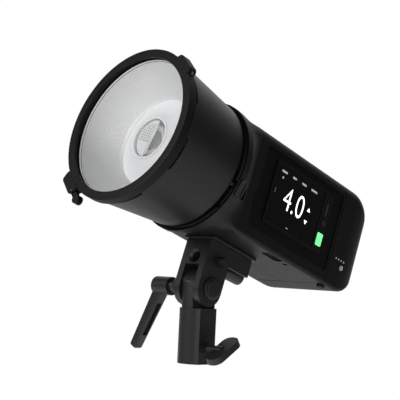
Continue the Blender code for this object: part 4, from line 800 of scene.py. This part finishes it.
def make_flash_tube():
    """Horseshoe tube of clear glass with a leg back from each end and a dark seal on each leg."""
    low, high = span("flash_tube")
    tube_r = 2.5 * MM
    ring_r = high.x - tube_r
    ring_y = low.y + tube_r
    start, end = math.radians(-60.0), math.radians(240.0)
    clear_selection()
    bpy.ops.mesh.primitive_circle_add(vertices=24, radius=tube_r, location=(ring_r, ring_y, 0.0))
    tube = bpy.context.object
    tube.name = "horseshoe_tube"
    bpy.ops.object.transform_apply(location=True, rotation=True, scale=True)
    turn_piece(tube, -start)
    open_piece(tube)
    bpy.ops.mesh.select_all(action="SELECT")
    bpy.ops.mesh.spin(steps=60, angle=start - end, center=(0.0, 0.0, 0.0), axis=(0.0, 1.0, 0.0))
    close_piece(mend=True)
    seals = []
    for angle in (start, end):
        centre = Vector((ring_r * math.cos(angle), 0.0, ring_r * math.sin(angle)))
        leg_start = centre + Vector((0.0, ring_y - tube_r * 0.6, 0.0))
        leg_end = centre + Vector((0.0, high.y, 0.0))
        leg = rod("tube_leg", tube_r * 1.02, leg_start, leg_end, 24, 0.6 * MM)
        seal_start = leg_end - Vector((0.0, 4.4 * MM, 0.0))
        seals.append(rod("tube_seal", tube_r * 1.25, seal_start, leg_end, 32, 0.3 * MM))
        fuse(tube, leg)
    finish_piece(tube, "head", "tube_glass", "flash_tube", smooth=60.0)
    finish_piece(gather("tube_seals", seals), "head", "dark_steel")


# --------------------------------------------------------------------------------------------------
# Mount and release
# --------------------------------------------------------------------------------------------------

RELEASE = middle("release_slider")
RELEASE_ANGLE = math.degrees(math.atan2(RELEASE.z, RELEASE.x))
RELEASE_R = math.hypot(RELEASE.x, RELEASE.z)
RELEASE_SLOPE = 19.0
COLLAR_LOW, COLLAR_HIGH = span("front_collar")
COLLAR_R = COLLAR_HIGH.x


def make_mount():
    """Mount ring with its counterbored screws, the lock pin and its notch."""
    low, high = span("mount_ring")
    rim = radius_at("mount_ring", low.y)
    bore = bore_of("mount_ring")
    ring = spun("mount_ring_face", [
        (bore, low.y + 0.5 * MM), (bore + 0.5 * MM, low.y), (bore + 2.0 * MM, low.y),
        (bore + 2.4 * MM, low.y + 0.5 * MM), (rim - 0.9 * MM, low.y + 0.5 * MM), (rim - 0.5 * MM, low.y),
        (rim, low.y + 0.4 * MM), (rim, high.y), (bore, high.y),
    ], steps=128)
    seats = []
    for number in range(1, 5):
        place = middle(f"mount_screw_{number}")
        screw_low, screw_high = span(f"mount_screw_{number}")
        seat_end = (place.x, screw_low.y + 0.5 * MM, place.z)
        seats.append(rod("seat", 2.6 * MM, (place.x, low.y - MM, place.z), seat_end, 32))
        screw = hex_screw(f"mount_bolt_{number}", 2.3 * MM, screw_high.y - screw_low.y)
        move_piece(screw, Matrix.Translation((place.x, screw_low.y, place.z)))
        finish_piece(screw, "head", "dark_steel", f"mount_screw_{number}")
    pin = middle("lock_pin")
    pin_r = math.hypot(pin.x, pin.z)
    notch = slab("notch", (pin_r - 2.1 * MM, low.y - MM, -3.6 * MM),
                 (rim + 2 * MM, high.y + MM, 3.6 * MM), 1, 1.2 * MM)
    carve(ring, at_angle(notch, RELEASE_ANGLE), gather("seats", seats))
    finish_piece(ring, "head", "mount", "mount_ring")
    pin_low, pin_high = span("lock_pin")
    lock = rod("lock_pin_steel", 1.7 * MM, (pin.x, pin_low.y, pin.z),
               (pin.x, pin_high.y, pin.z), 32, 0.5 * MM)
    finish_piece(lock, "release", "steel", "lock_pin")


def seat_on_flank(piece):
    """Lean a piece made around the origin like the collar's flank and put it where the slider is."""
    turn_piece(piece, math.radians(RELEASE_SLOPE), "Z")
    move_piece(piece, Matrix.Translation((RELEASE_R, RELEASE.y, 0.0)))
    return at_angle(piece, RELEASE_ANGLE)


def make_release():
    """Release slider with a ridge at its rear, and the track that it runs in."""
    half_y, half_z, half_x = 5.8 * MM, 7.0 * MM, 1.3 * MM
    slider = slab("slider", (-half_x, -half_y, -half_z), (half_x - 0.5 * MM, half_y, half_z), 0, 1.2 * MM, 4)
    ridge = slab("ridge", (0.0, 2.4 * MM, -half_z + 0.9 * MM),
                 (half_x + 0.3 * MM, 4.6 * MM, half_z - 0.9 * MM), 0, 0.9 * MM)
    fuse(slider, ridge)
    grooves = []
    for i in range(3):
        y = (-3.4 + 1.7 * i) * MM
        grooves.append(slab("groove", (half_x - 0.85 * MM, y - 0.25 * MM, -4.6 * MM),
                            (half_x + MM, y + 0.25 * MM, 4.6 * MM)))
    carve(slider, gather("grooves", grooves))
    soften(slider, 0.22 * MM)
    finish_piece(seat_on_flank(slider), "release", "collar", "release_slider")
    track = slab("slider_track", (-half_x - 1.4 * MM, -half_y - 1.6 * MM, -half_z - 1.2 * MM),
                 (-half_x - 0.5 * MM, half_y + 4.6 * MM, half_z + 1.2 * MM), edge=0.2 * MM)
    pin, pin_end = middle("lock_pin"), span("lock_pin")[1].y
    run = rod("pin_run", 2.3 * MM, (pin.x, pin_end - 8 * MM, pin.z), (pin.x, pin_end + 3.8 * MM, pin.z))
    finish_piece(carve(seat_on_flank(track), run), "head", "recess")


# --------------------------------------------------------------------------------------------------
# Casing
# --------------------------------------------------------------------------------------------------

CASE_LOW, CASE_HIGH = span("casing_display_side")
HALF_WIDTH = CASE_HIGH.x
CORNERS = {                         # radius of each corner, by its side (x) and height (z)
    (1, 1): 12.0 * MM,
    (-1, 1): 18.0 * MM,
    (-1, -1): 21.0 * MM,
    (1, -1): 3.2 * MM,
}
UPRIGHT = Matrix.Rotation(math.pi / 2, 4, "X")
UNDERSIDE_SCREW = 7.0 * MM          # behind the socket panel


def section_loop(name, start, side_cuts=0, steps=14):
    """Edge loop of the body's section, flat in x-y around the light axis, to be extruded towards -z."""
    clear_selection()
    bpy.ops.mesh.primitive_plane_add(size=1.0, location=(0.0, (CASE_HIGH.z + CASE_LOW.z) / 2, -start))
    piece = bpy.context.object
    piece.name = name
    piece.scale = (2 * HALF_WIDTH, CASE_HIGH.z - CASE_LOW.z, 1.0)
    bpy.ops.object.transform_apply(location=True, rotation=True, scale=True)
    open_piece(piece)
    for (side, height), radius in CORNERS.items():
        corner = Vector((side * HALF_WIDTH, CASE_HIGH.z if height > 0 else CASE_LOW.z, -start))
        pick(piece, lambda points: (points[0] - corner).length < 0.01 * MM)
        bpy.ops.mesh.bevel(offset=radius, segments=steps, affect="VERTICES")
    bpy.ops.mesh.select_all(action="SELECT")
    bpy.ops.mesh.delete(type="ONLY_FACE")
    if side_cuts:
        pick(piece, lambda points: (points[0] - points[1]).length > 12.0 * MM, "edges")
        bpy.ops.mesh.subdivide(number_cuts=side_cuts)
    bpy.ops.mesh.select_mode(type="EDGE")
    bpy.ops.mesh.select_all(action="SELECT")
    return piece


def grow_back(length):
    """Extrude the selected loop backwards."""
    bpy.ops.mesh.extrude_region_move(TRANSFORM_OT_translate={"value": (0.0, 0.0, -length)})


def wall_up(piece, wall):
    """Turn the open skin outwards, stand it along y and grow its wall inwards."""
    close_piece(mend=True)
    move_piece(piece, UPRIGHT)
    return apply_modifier(piece, "SOLIDIFY", thickness=wall, offset=-1.0, use_even_offset=True)


def make_collar():
    """Front collar: round at its front, and it takes the body's section by its rear edge."""
    front, end = COLLAR_LOW.y, COLLAR_HIGH.y
    straight, steps = 5.0 * MM, 12
    collar = section_loop("collar_shell", front, side_cuts=9)
    grow_back(straight)
    for _ in range(steps):
        grow_back((end - front - straight) / steps)
    bpy.ops.object.mode_set(mode="OBJECT")
    roundness = collar.vertex_groups.new(name="roundness")
    for vert in collar.data.vertices:
        share = max(0.0, (-vert.co.z - front - straight) / (end - front - straight))
        roundness.add([vert.index], 1.0 - share * share * (3 - 2 * share), "REPLACE")
    apply_modifier(collar, "CAST", cast_type="CYLINDER", use_x=True, use_y=True, use_z=False, factor=1.0,
                   use_radius_as_size=False, size=COLLAR_R, vertex_group="roundness")
    open_piece(collar)
    wall_up(collar, 2.4 * MM)
    pocket = slab("pocket", (COLLAR_R - 12 * MM, span("release_slider")[0].y - 0.9 * MM, -7.3 * MM),
                  (COLLAR_R + 6 * MM, span("release_slider")[1].y + 3.6 * MM, 7.3 * MM), 0, 1.4 * MM)
    carve(collar, at_angle(pocket, RELEASE_ANGLE))
    soften(collar, 0.45 * MM, 3, 50.0)
    finish_piece(collar, "head", "collar", "front_collar")


def half_of(piece, side):
    """Keep one side of a piece, 0.15 mm short of the middle."""
    edges = sorted((side * 0.15 * MM, -side * 0.2))
    return carve(piece, slab("beyond", (edges[0], -0.1, -0.2), (edges[1], 0.4, 0.2)))


def make_casing():
    """Two casing halves. The display side has windows for the panel, the little window and the sockets."""
    start, end = CASE_LOW.y, CASE_HIGH.y
    for name, side in (("casing_display_side", 1), ("casing_far_side", -1)):
        half = section_loop("shell_" + name, start)
        grow_back(end - start)
        wall_up(half, 2.5 * MM)
        half_of(half, side)
        if side > 0:
            cut_windows(half)
        soften(half, 0.4 * MM, 3, 50.0)
        finish_piece(half, "head", "casing", name)
    refined("rear_bulkhead", "rear_wall", "head", "recess", 0.3 * MM)


def underside_screw_place():
    """Where the screw behind the socket panel is, in (x, y)."""
    low, high = span("port_panel")
    return (low.x + high.x) / 2, high.y + UNDERSIDE_SCREW


def cut_windows(half):
    """Openings for the side panel and its little window, and for the sockets in the underside."""
    gap, deep, out = 0.15 * MM, HALF_WIDTH - 5.0 * MM, HALF_WIDTH + 3.0 * MM
    low, high = span("side_panel")
    glass_low, glass_high = span("panel_window")
    ports_low, ports_high = span("port_panel")
    panel = slab("panel_opening", *widened(low, high, gap, deep, out), 0, 3.0 * MM)
    notch = slab("notch_opening", *widened(glass_low, glass_high, gap, deep, out), 0, 1.4 * MM)
    ports = slab("port_opening", (ports_low.x - gap, ports_low.y - gap, CASE_LOW.z - 3 * MM),
                 (ports_high.x + gap, ports_high.y + gap, CASE_LOW.z + 5 * MM), 2, 2.2 * MM)
    x, y = underside_screw_place()
    seat = rod("screw_seat", 2.4 * MM, (x, y, CASE_LOW.z - MM), (x, y, CASE_LOW.z + 1.2 * MM))
    carve(half, panel, notch, ports, seat)


# --------------------------------------------------------------------------------------------------
# Side panel, screen and controls
# --------------------------------------------------------------------------------------------------

SCREEN_LOW, SCREEN_HIGH = span("screen_glass")
STRIP_LOW, STRIP_HIGH = span("control_strip")
PANEL_LOW, PANEL_HIGH = span("side_panel")
GLASS_X = SCREEN_HIGH.x


def make_panel():
    """Side panel, sunk a little into the casing, with the screen's well in it."""
    gap = 0.3 * MM
    panel = slab("panel_plate", PANEL_LOW, PANEL_HIGH, 0, 2.8 * MM, 8)
    inside, outside = PANEL_LOW.x - MM, PANEL_HIGH.x + MM
    window_low, window_high = span("panel_window")
    well = slab("well", *widened(SCREEN_LOW, SCREEN_HIGH, gap, inside, outside))
    notch = slab("notch", (inside, window_low.y - MM, window_low.z - gap),
                 (outside, window_high.y + gap, window_high.z + gap))
    holes = [slab("hole", *widened(*span(button), gap, inside, outside))
             for button in ("test_button", "power_button")]
    carve(panel, well, notch, *holes)
    soften(panel, 0.25 * MM, 2, 50.0)
    finish_piece(panel, "head", "panel", "side_panel")
    window = slab("window_pane", window_low, window_high, 0, 1.2 * MM, 5, 0.2 * MM)
    finish_piece(window, "head", "screen", "panel_window")


def make_screen():
    """Cover glass and the bezel around it."""
    glass = slab("cover_glass", SCREEN_LOW, SCREEN_HIGH, 0, 1.2 * MM, 6, 0.15 * MM)
    finish_piece(glass, "head", "screen", "screen_glass")
    low, high = span("screen_bezel")
    gap = 0.3 * MM
    bezel = slab("bezel_frame", low, high, 0, 2.6 * MM, 8)
    opening = slab("bezel_opening", (low.x - MM, SCREEN_LOW.y - gap, SCREEN_LOW.z - gap),
                   (high.x + MM, SCREEN_HIGH.y + gap, SCREEN_HIGH.z + gap), 0, 1.4 * MM, 6)
    carve(bezel, opening)
    soften(bezel, 0.35 * MM, 3, 50.0)
    finish_piece(bezel, "head", "panel", "screen_bezel")


def mark(name, low, high, radius=0.0):
    """Thin lit shape on the screen, from corner to corner in (y, z)."""
    return slab(name, (GLASS_X - 0.05 * MM, *low), (GLASS_X + 0.06 * MM, *high), 0, radius, 3)


def arrow(name, y, z, size, way):
    """Little triangle on the screen that points up (1) or down (-1)."""
    clear_selection()
    bpy.ops.mesh.primitive_cylinder_add(vertices=3, radius=size, depth=0.11 * MM)
    piece = bpy.context.object
    piece.name = name
    upright = Matrix(((0, 0, 1, GLASS_X), (1, 0, 0, y), (0, way, 0, z), (0, 0, 0, 1)))
    move_piece(piece, upright)
    open_piece(piece)
    return close_piece(mend=True)


def make_reading():
    """Lit marks on the screen: the reading's digits, up and down arrows, and small generic status marks."""
    y0, z0 = SCREEN_LOW.y - 1.4 * MM, SCREEN_LOW.z
    finish_piece(make_digits(y0 + 17.4 * MM, z0 + 16.2 * MM, 26.7 * MM, 19.6 * MM), "head", "lit_white")
    white = [
        arrow("arrow_up", y0 + 50.9 * MM, z0 + 27.5 * MM, 2.3 * MM, 1),
        arrow("arrow_down", y0 + 50.4 * MM, z0 + 17.1 * MM, 2.3 * MM, -1),
    ]
    finish_piece(gather("arrows", white), "head", "lit_white")
    row_z = z0 + 45.4 * MM
    row = []
    for y, width in ((10.6, 7.0), (24.0, 4.6), (37.4, 6.0), (51.6, 8.4)):
        low_y = y0 + (y - width / 2) * MM
        high_y = low_y + width * MM
        row.append(mark("status", (low_y, row_z - 0.9 * MM), (high_y, row_z + 0.9 * MM), 0.6 * MM))
    row.append(mark("battery_tip", (y0 + 26.5 * MM, row_z - 0.5 * MM), (y0 + 27.1 * MM, row_z + 0.5 * MM)))
    row.append(mark("status_dot", (y0 + 9.4 * MM, z0 + 39.2 * MM),
                    (y0 + 11.2 * MM, z0 + 41.2 * MM), 0.7 * MM))
    row.append(mark("dash", (y0 + 28.8 * MM, z0 + 2.7 * MM), (y0 + 31.8 * MM, z0 + 3.3 * MM)))
    for i in range(3):
        z = z0 + (25.2 + 1.5 * i) * MM
        row.append(mark("edge_dot", (y0 + 4.8 * MM, z), (y0 + 5.3 * MM, z + 0.5 * MM)))
    finish_piece(gather("status_row", row), "head", "lit_grey")


def make_digits(y, z, length, height):
    """Reading as raised digits that fill a box from its lower front corner."""
    clear_selection()
    bpy.ops.object.text_add()
    text = bpy.context.object
    text.data.body = "4.0"
    text.data.extrude = 0.001
    text.data.offset = -0.012
    bpy.ops.object.convert(target="MESH")
    digits = bpy.context.object
    digits.name = "digits"
    points = [vert.co.copy() for vert in digits.data.vertices]
    low = Vector([min(point[i] for point in points) for i in range(3)])
    high = Vector([max(point[i] for point in points) for i in range(3)])
    fit = Matrix.Diagonal((length / (high.x - low.x), height / (high.y - low.y), 0.06 * MM / 0.001, 1.0))
    upright = Matrix(((0, 0, 1, GLASS_X), (1, 0, 0, y), (0, 1, 0, z), (0, 0, 0, 1)))
    return move_piece(digits, upright @ fit @ Matrix.Translation((-low.x, -low.y, 0.0)))


def make_controls():
    """Control strip with its lit test button, ringed power button and light bar."""
    gap = 0.3 * MM
    strip = slab("strip_plate", STRIP_LOW, STRIP_HIGH, 0, 0.8 * MM, 4)
    inside, outside = STRIP_LOW.x - MM, STRIP_HIGH.x + MM
    test_low, test_high = span("test_button")
    power_low, power_high = span("power_button")
    power = (power_low + power_high) / 2
    power_r, face = power_high.y - power.y, power_high.x
    hole = slab("test_hole", *widened(test_low, test_high, gap, inside, outside), 0, 1.0 * MM)
    round_hole = cross_rod("power_hole", power_r + gap, power, inside, outside)
    carve(strip, hole, round_hole)
    soften(strip, 0.15 * MM, 2, 50.0)
    finish_piece(strip, "head", "screen_well", "control_strip")
    test = slab("test_key_cap", test_low, test_high, 0, 0.8 * MM, 5, 0.3 * MM)
    finish_piece(test, "test_key", "lit_green", "test_button")
    cap = cross_rod("power_key_cap", power_r, power, power_low.x, face, edge=0.25 * MM)
    finish_piece(cap, "power_key", "panel", "power_button")
    ring = cross_rod("power_ring", 2.1 * MM, power, face - 0.1 * MM, face + 0.08 * MM)
    core = cross_rod("power_core", 1.65 * MM, power, face - MM, face + MM)
    carve(ring, core)
    finish_piece(ring, "power_key", "button_dark")
    bar = slab("light_bar", (STRIP_HIGH.x - 0.1 * MM, power.y - 0.4 * MM, power.z + 7.0 * MM),
               (STRIP_HIGH.x + 0.12 * MM, power.y + 0.4 * MM, power.z + 18.0 * MM), 0, 0.3 * MM)
    finish_piece(bar, "head", "button_dark")


def make_sockets():
    """Socket panel in the underside, with its sync socket and data socket."""
    refined("port_panel", "socket_plate", "head", "recess", 0.2 * MM)
    screw = hex_screw("underside_screw", 1.9 * MM, 2.0 * MM)
    turn_piece(screw, math.pi / 2, "X")
    move_piece(screw, Matrix.Translation((*underside_screw_place(), CASE_LOW.z + 0.9 * MM)))
    finish_piece(screw, "head", "dark_steel")


# --------------------------------------------------------------------------------------------------
# Battery
# --------------------------------------------------------------------------------------------------

BATTERY_END_DEPTH = 26.0 * MM       # the rear rounds off over this length
BATTERY_END_RISE = 24.0 * MM        # drawn in by this much at the top and the bottom
BATTERY_END_SIDE = 9.0 * MM         # and at the sides
BATTERY_END_TURN = math.radians(84.0)


def battery_shell(low, high, steps=14):
    """Hollow case with the body's section, drawn in along an elliptic rear."""
    middle_z, half_height = (CASE_HIGH.z + CASE_LOW.z) / 2, (CASE_HIGH.z - CASE_LOW.z) / 2
    straight = high.y - BATTERY_END_DEPTH * math.sin(BATTERY_END_TURN)
    case = section_loop("battery_shell", low.y)
    grow_back(straight - low.y)
    y, width, height = straight, 1.0, 1.0
    for i in range(1, steps + 1):
        angle = BATTERY_END_TURN * i / steps
        drawn_in = 1.0 - math.cos(angle)
        next_y = straight + BATTERY_END_DEPTH * math.sin(angle)
        next_width = 1.0 - BATTERY_END_SIDE * drawn_in / HALF_WIDTH
        next_height = 1.0 - BATTERY_END_RISE * drawn_in / half_height
        grow_back(next_y - y)
        bpy.ops.transform.resize(value=(next_width / width, next_height / height, 1.0),
                                 center_override=(0.0, middle_z, 0.0))
        y, width, height = next_y, next_width, next_height
    bpy.ops.mesh.edge_face_add()
    return wall_up(case, 2.5 * MM)


def make_battery():
    """Battery case with a rounded rear, its charge dots, check button and release button."""
    low, high = span("battery_case")
    case = battery_shell(low, high)
    gauge_low, gauge_high = span("charge_gauge")
    dots = charge_dots(gauge_low, gauge_high)
    holes = [cross_rod("dot_hole", 1.0 * MM, dot, dot.x - 3 * MM, dot.x + MM, 24) for dot in dots]
    check_low, check_high = span("check_button")
    check = (check_low + check_high) / 2
    check_r = check_high.y - check.y
    gap = 0.3 * MM
    holes.append(cross_rod("check_hole", check_r + gap, check, check_low.x - MM, check_high.x + MM))
    latch_low, latch_high = span("battery_release_button")
    latch = (latch_low + latch_high) / 2
    latch_r = latch_high.y - latch.y
    holes.append(rod("latch_hole", latch_r + gap, (latch.x, latch.y, latch_low.z - MM),
                     (latch.x, latch.y, low.z + 4 * MM)))
    carve(case, gather("holes", holes))
    soften(case, 0.35 * MM, 3, 50.0)
    finish_piece(case, "battery", "casing", "battery_case")
    lights = [cross_rod("dot", 0.7 * MM, dot, dot.x - 2 * MM, dot.x - 0.1 * MM, 24, 0.15 * MM)
              for dot in dots]
    backing = slab("gauge_bar", gauge_low, (gauge_low.x + 1.4 * MM, gauge_high.y, gauge_high.z),
                   edge=0.2 * MM)
    finish_piece(gather("gauge_lights", [*lights, backing]), "battery", "lit_grey", "charge_gauge")
    button = cross_rod("check_key_cap", check_r, check, check_low.x, check_high.x, edge=0.35 * MM)
    finish_piece(button, "check_key", "button_grey", "check_button")
    foot = rod("battery_latch_cap", latch_r, (latch.x, latch.y, latch_low.z),
               (latch.x, latch.y, latch_high.z), 48, 0.5 * MM)
    finish_piece(foot, "battery_release", "rubber", "battery_release_button")
    refined("battery_front_plate", "battery_front", "battery", "recess", 0.3 * MM)


def charge_dots(low, high):
    """Outer ends of the four charge dots."""
    pitch = (high.y - low.y - 4.0 * MM) / 3
    return [Vector((HALF_WIDTH, low.y + 2.0 * MM + pitch * i, (low.z + high.z) / 2)) for i in range(4)]


# --------------------------------------------------------------------------------------------------
# Bracket, pivot and stand receiver
# --------------------------------------------------------------------------------------------------

def make_bracket():
    """Bracket plate and block, umbrella tube and its lock."""
    refined("bracket_plate", "bracket_top_plate", "head", "bracket", 0.4 * MM)
    refined("bracket_block", "bracket_casting", "head", "bracket", 0.55 * MM, 3)
    refined("umbrella_tube", "shaft_tube", "head", "bracket", 0.3 * MM)
    refined("umbrella_lock_stud", "lock_stud", "umbrella_screw", "steel", 0.25 * MM)
    low, high = span("umbrella_lock_knob")
    knob = grip_knob("lock_knob", (high.z - low.z) / 2, high.x - low.x)
    move_piece(knob, Matrix.Translation((low.x, (low.y + high.y) / 2, (low.z + high.z) / 2)))
    finish_piece(knob, "umbrella_knob", "bracket", "umbrella_lock_knob")


def grip_knob(name, radius, length, ribs=20):
    """Ribbed knob along +x, bored for its stud and turned down at its root."""
    knob = rod(name, radius - 0.35 * MM, (0.0, 0.0, 0.0), (length, 0.0, 0.0), 2 * ribs)
    open_piece(knob)
    bpy.ops.mesh.select_mode(type="FACE")
    bpy.ops.object.mode_set(mode="OBJECT")
    for face in knob.data.polygons:
        angle = math.degrees(math.atan2(face.center.z, face.center.y)) % 360.0
        face.select = abs(face.normal.x) < 0.5 and round(angle / (180.0 / ribs) - 0.5) % 2 == 0
    bpy.ops.object.mode_set(mode="EDIT")
    bpy.ops.mesh.extrude_faces_move(TRANSFORM_OT_shrink_fatten={"value": 0.35 * MM})
    close_piece(mend=True)
    soften(knob, 0.12 * MM)
    neck = rod("neck", radius + MM, (-MM, 0.0, 0.0), (0.9 * MM, 0.0, 0.0))
    core = rod("core", radius - 1.0 * MM, (-2 * MM, 0.0, 0.0), (2 * MM, 0.0, 0.0))
    carve(neck, core)
    return carve(knob, neck, rod("knob_bore", 2.7 * MM, (-MM, 0.0, 0.0), (length - 1.7 * MM, 0.0, 0.0)))


def make_pivot():
    """Pivot bolt with its stepped disc head, the boss, the spacer and the tilt lever."""
    refined("pivot_bolt", "pivot_disc", "head", "bracket", 0.3 * MM)
    refined("pivot_boss", "pivot_cone", "head", "bracket", 0.3 * MM)
    refined("lever_spacer", "lever_collar", "head", "dark_steel", 0.2 * MM)
    refined("tilt_lever", "lever_arm", "lever", "bracket", 0.5 * MM, 3)


def make_receiver():
    """Receiver, its friction washers, the clamp stud and the wing knob."""
    refined("receiver", "stand_receiver", "receiver_body", "bracket", 0.6 * MM, 3)
    for side in ("display_side", "far_side"):
        refined(f"friction_washer_{side}", f"washer_{side}", "receiver_body", "dark_steel", 0.15 * MM)
    refined("clamp_stud", "clamp_screw_steel", "clamp_screw", "steel", 0.3 * MM)
    refined("wing_knob", "wing_grip", "clamp_wing", "bracket", 0.8 * MM, 3)


# --------------------------------------------------------------------------------------------------
# Inside
# --------------------------------------------------------------------------------------------------

INNER_LOOKS = {
    "inner_frame": "alloy", "capacitor_1": "sleeve", "capacitor_2": "sleeve", "main_board": "board",
    "trigger_transformer": "sleeve", "heat_sink": "alloy", "display_board": "board", "fan_frame": "recess",
    "fan_rotor": "rubber", "cell_pack": "sleeve",
}


def dress_inner_nodes():
    """Give each CAD node that stays its own finish."""
    for node, look in INNER_LOOKS.items():
        mesh = frame["nodes"][node].data
        mesh.materials.clear()
        mesh.materials.append(LOOKS[look])


# --------------------------------------------------------------------------------------------------
# Studio
# --------------------------------------------------------------------------------------------------

def add_floor():
    """Pale floor well below the head."""
    finish = Finish("studio_floor", Roughness=0.9, Emission_Strength=0.45)
    shade = finish.noise(0.4, 2.0)
    tone = finish.blend(shade, (0.90, 0.90, 0.90, 1.0), (0.94, 0.94, 0.94, 1.0))
    finish.feed(Base_Color=tone, Emission_Color=tone)
    clear_selection()
    bpy.ops.mesh.primitive_plane_add(size=6.0, location=(0.0, 0.0, -0.55))
    floor = bpy.context.object
    floor.name = "floor"
    floor.data.materials.append(finish.material)


def add_area_light(name, location, target, size, power, colour=(1.0, 1.0, 1.0)):
    """Soft rectangular light aimed at a point."""
    data = bpy.data.lights.new(name, "AREA")
    data.shape = "RECTANGLE"
    data.size, data.size_y = size
    data.energy = power
    data.color = colour
    light = bpy.data.objects.new(name, data)
    light.location = location
    aim = Vector(target) - Vector(location)
    light.rotation_euler = aim.to_track_quat("-Z", "Y").to_euler()
    bpy.context.scene.collection.objects.link(light)


VIEW = Vector((-0.705, 0.707, 0.05))    # the way the camera looks
ROOM_GLOW = 0.05                        # of the dim room, beside the white backdrop's 1


def set_studio():
    """A white backdrop behind the object in a dim room, and soft boxes around it."""
    world = bpy.data.worlds.new("studio")
    graph = Graph(world, "Background")
    direction = graph.node("ShaderNodeTexCoord", output="Generated")
    inputs = {0: direction, 1: VIEW}
    facing = graph.node("ShaderNodeVectorMath", {"operation": "DOT_PRODUCT"}, inputs, "Value")
    backdrop = graph.node("ShaderNodeMapRange", {"interpolation_type": "SMOOTHSTEP"}, {
        "Value": facing, "From Min": 0.45, "From Max": 0.95, "To Min": ROOM_GLOW, "To Max": 1.0,
    })
    seen = graph.node("ShaderNodeLightPath", output="Is Camera Ray")
    graph.feed(Color=(1.0, 1.0, 1.0, 1.0), Strength=backdrop.at_least(seen))
    bpy.context.scene.world = world
    bpy.context.scene.view_settings.view_transform = "Standard"
    middle_point = (0.0, 0.0, 0.12)
    add_area_light("front_box", (-0.45, -1.35, 0.75), (0.0, -0.06, 0.19), (0.7, 0.5), 13.0)
    add_area_light("side_box", (1.25, -1.15, 0.45), middle_point, (0.35, 1.0), 6.0)
    add_area_light("top_box", (0.3, 0.5, 1.4), middle_point, (0.5, 1.0), 5.0)


def add_camera():
    """Long lens at the display side's front quarter, just above the stand receiver."""
    camera = bpy.data.cameras.new("camera")
    camera.lens = 113.1
    camera.sensor_width = 36.0
    holder = bpy.data.objects.new("camera", camera)
    right = Vector((0.70926682, 0.70323982, 0.04893186))
    up = Vector((0.000922449, -0.0703385977, 0.997522747))
    turn = Matrix((right, up, right.cross(up))).transposed()
    holder.matrix_world = Matrix.Translation((0.7297, -0.7364, 0.0818)) @ turn.to_4x4()
    bpy.context.scene.collection.objects.link(holder)
    bpy.context.scene.camera = holder


add_camera()
set_studio()
add_floor()
make_accessory_ring()
make_skirt()
make_dish()
make_bayonet()
make_lamp()
make_mount()
make_release()
make_collar()
make_casing()
make_panel()
make_screen()
make_reading()
make_controls()
make_sockets()
make_battery()
make_bracket()
make_pivot()
make_receiver()
dress_inner_nodes()

bpy.context.view_layer.update()
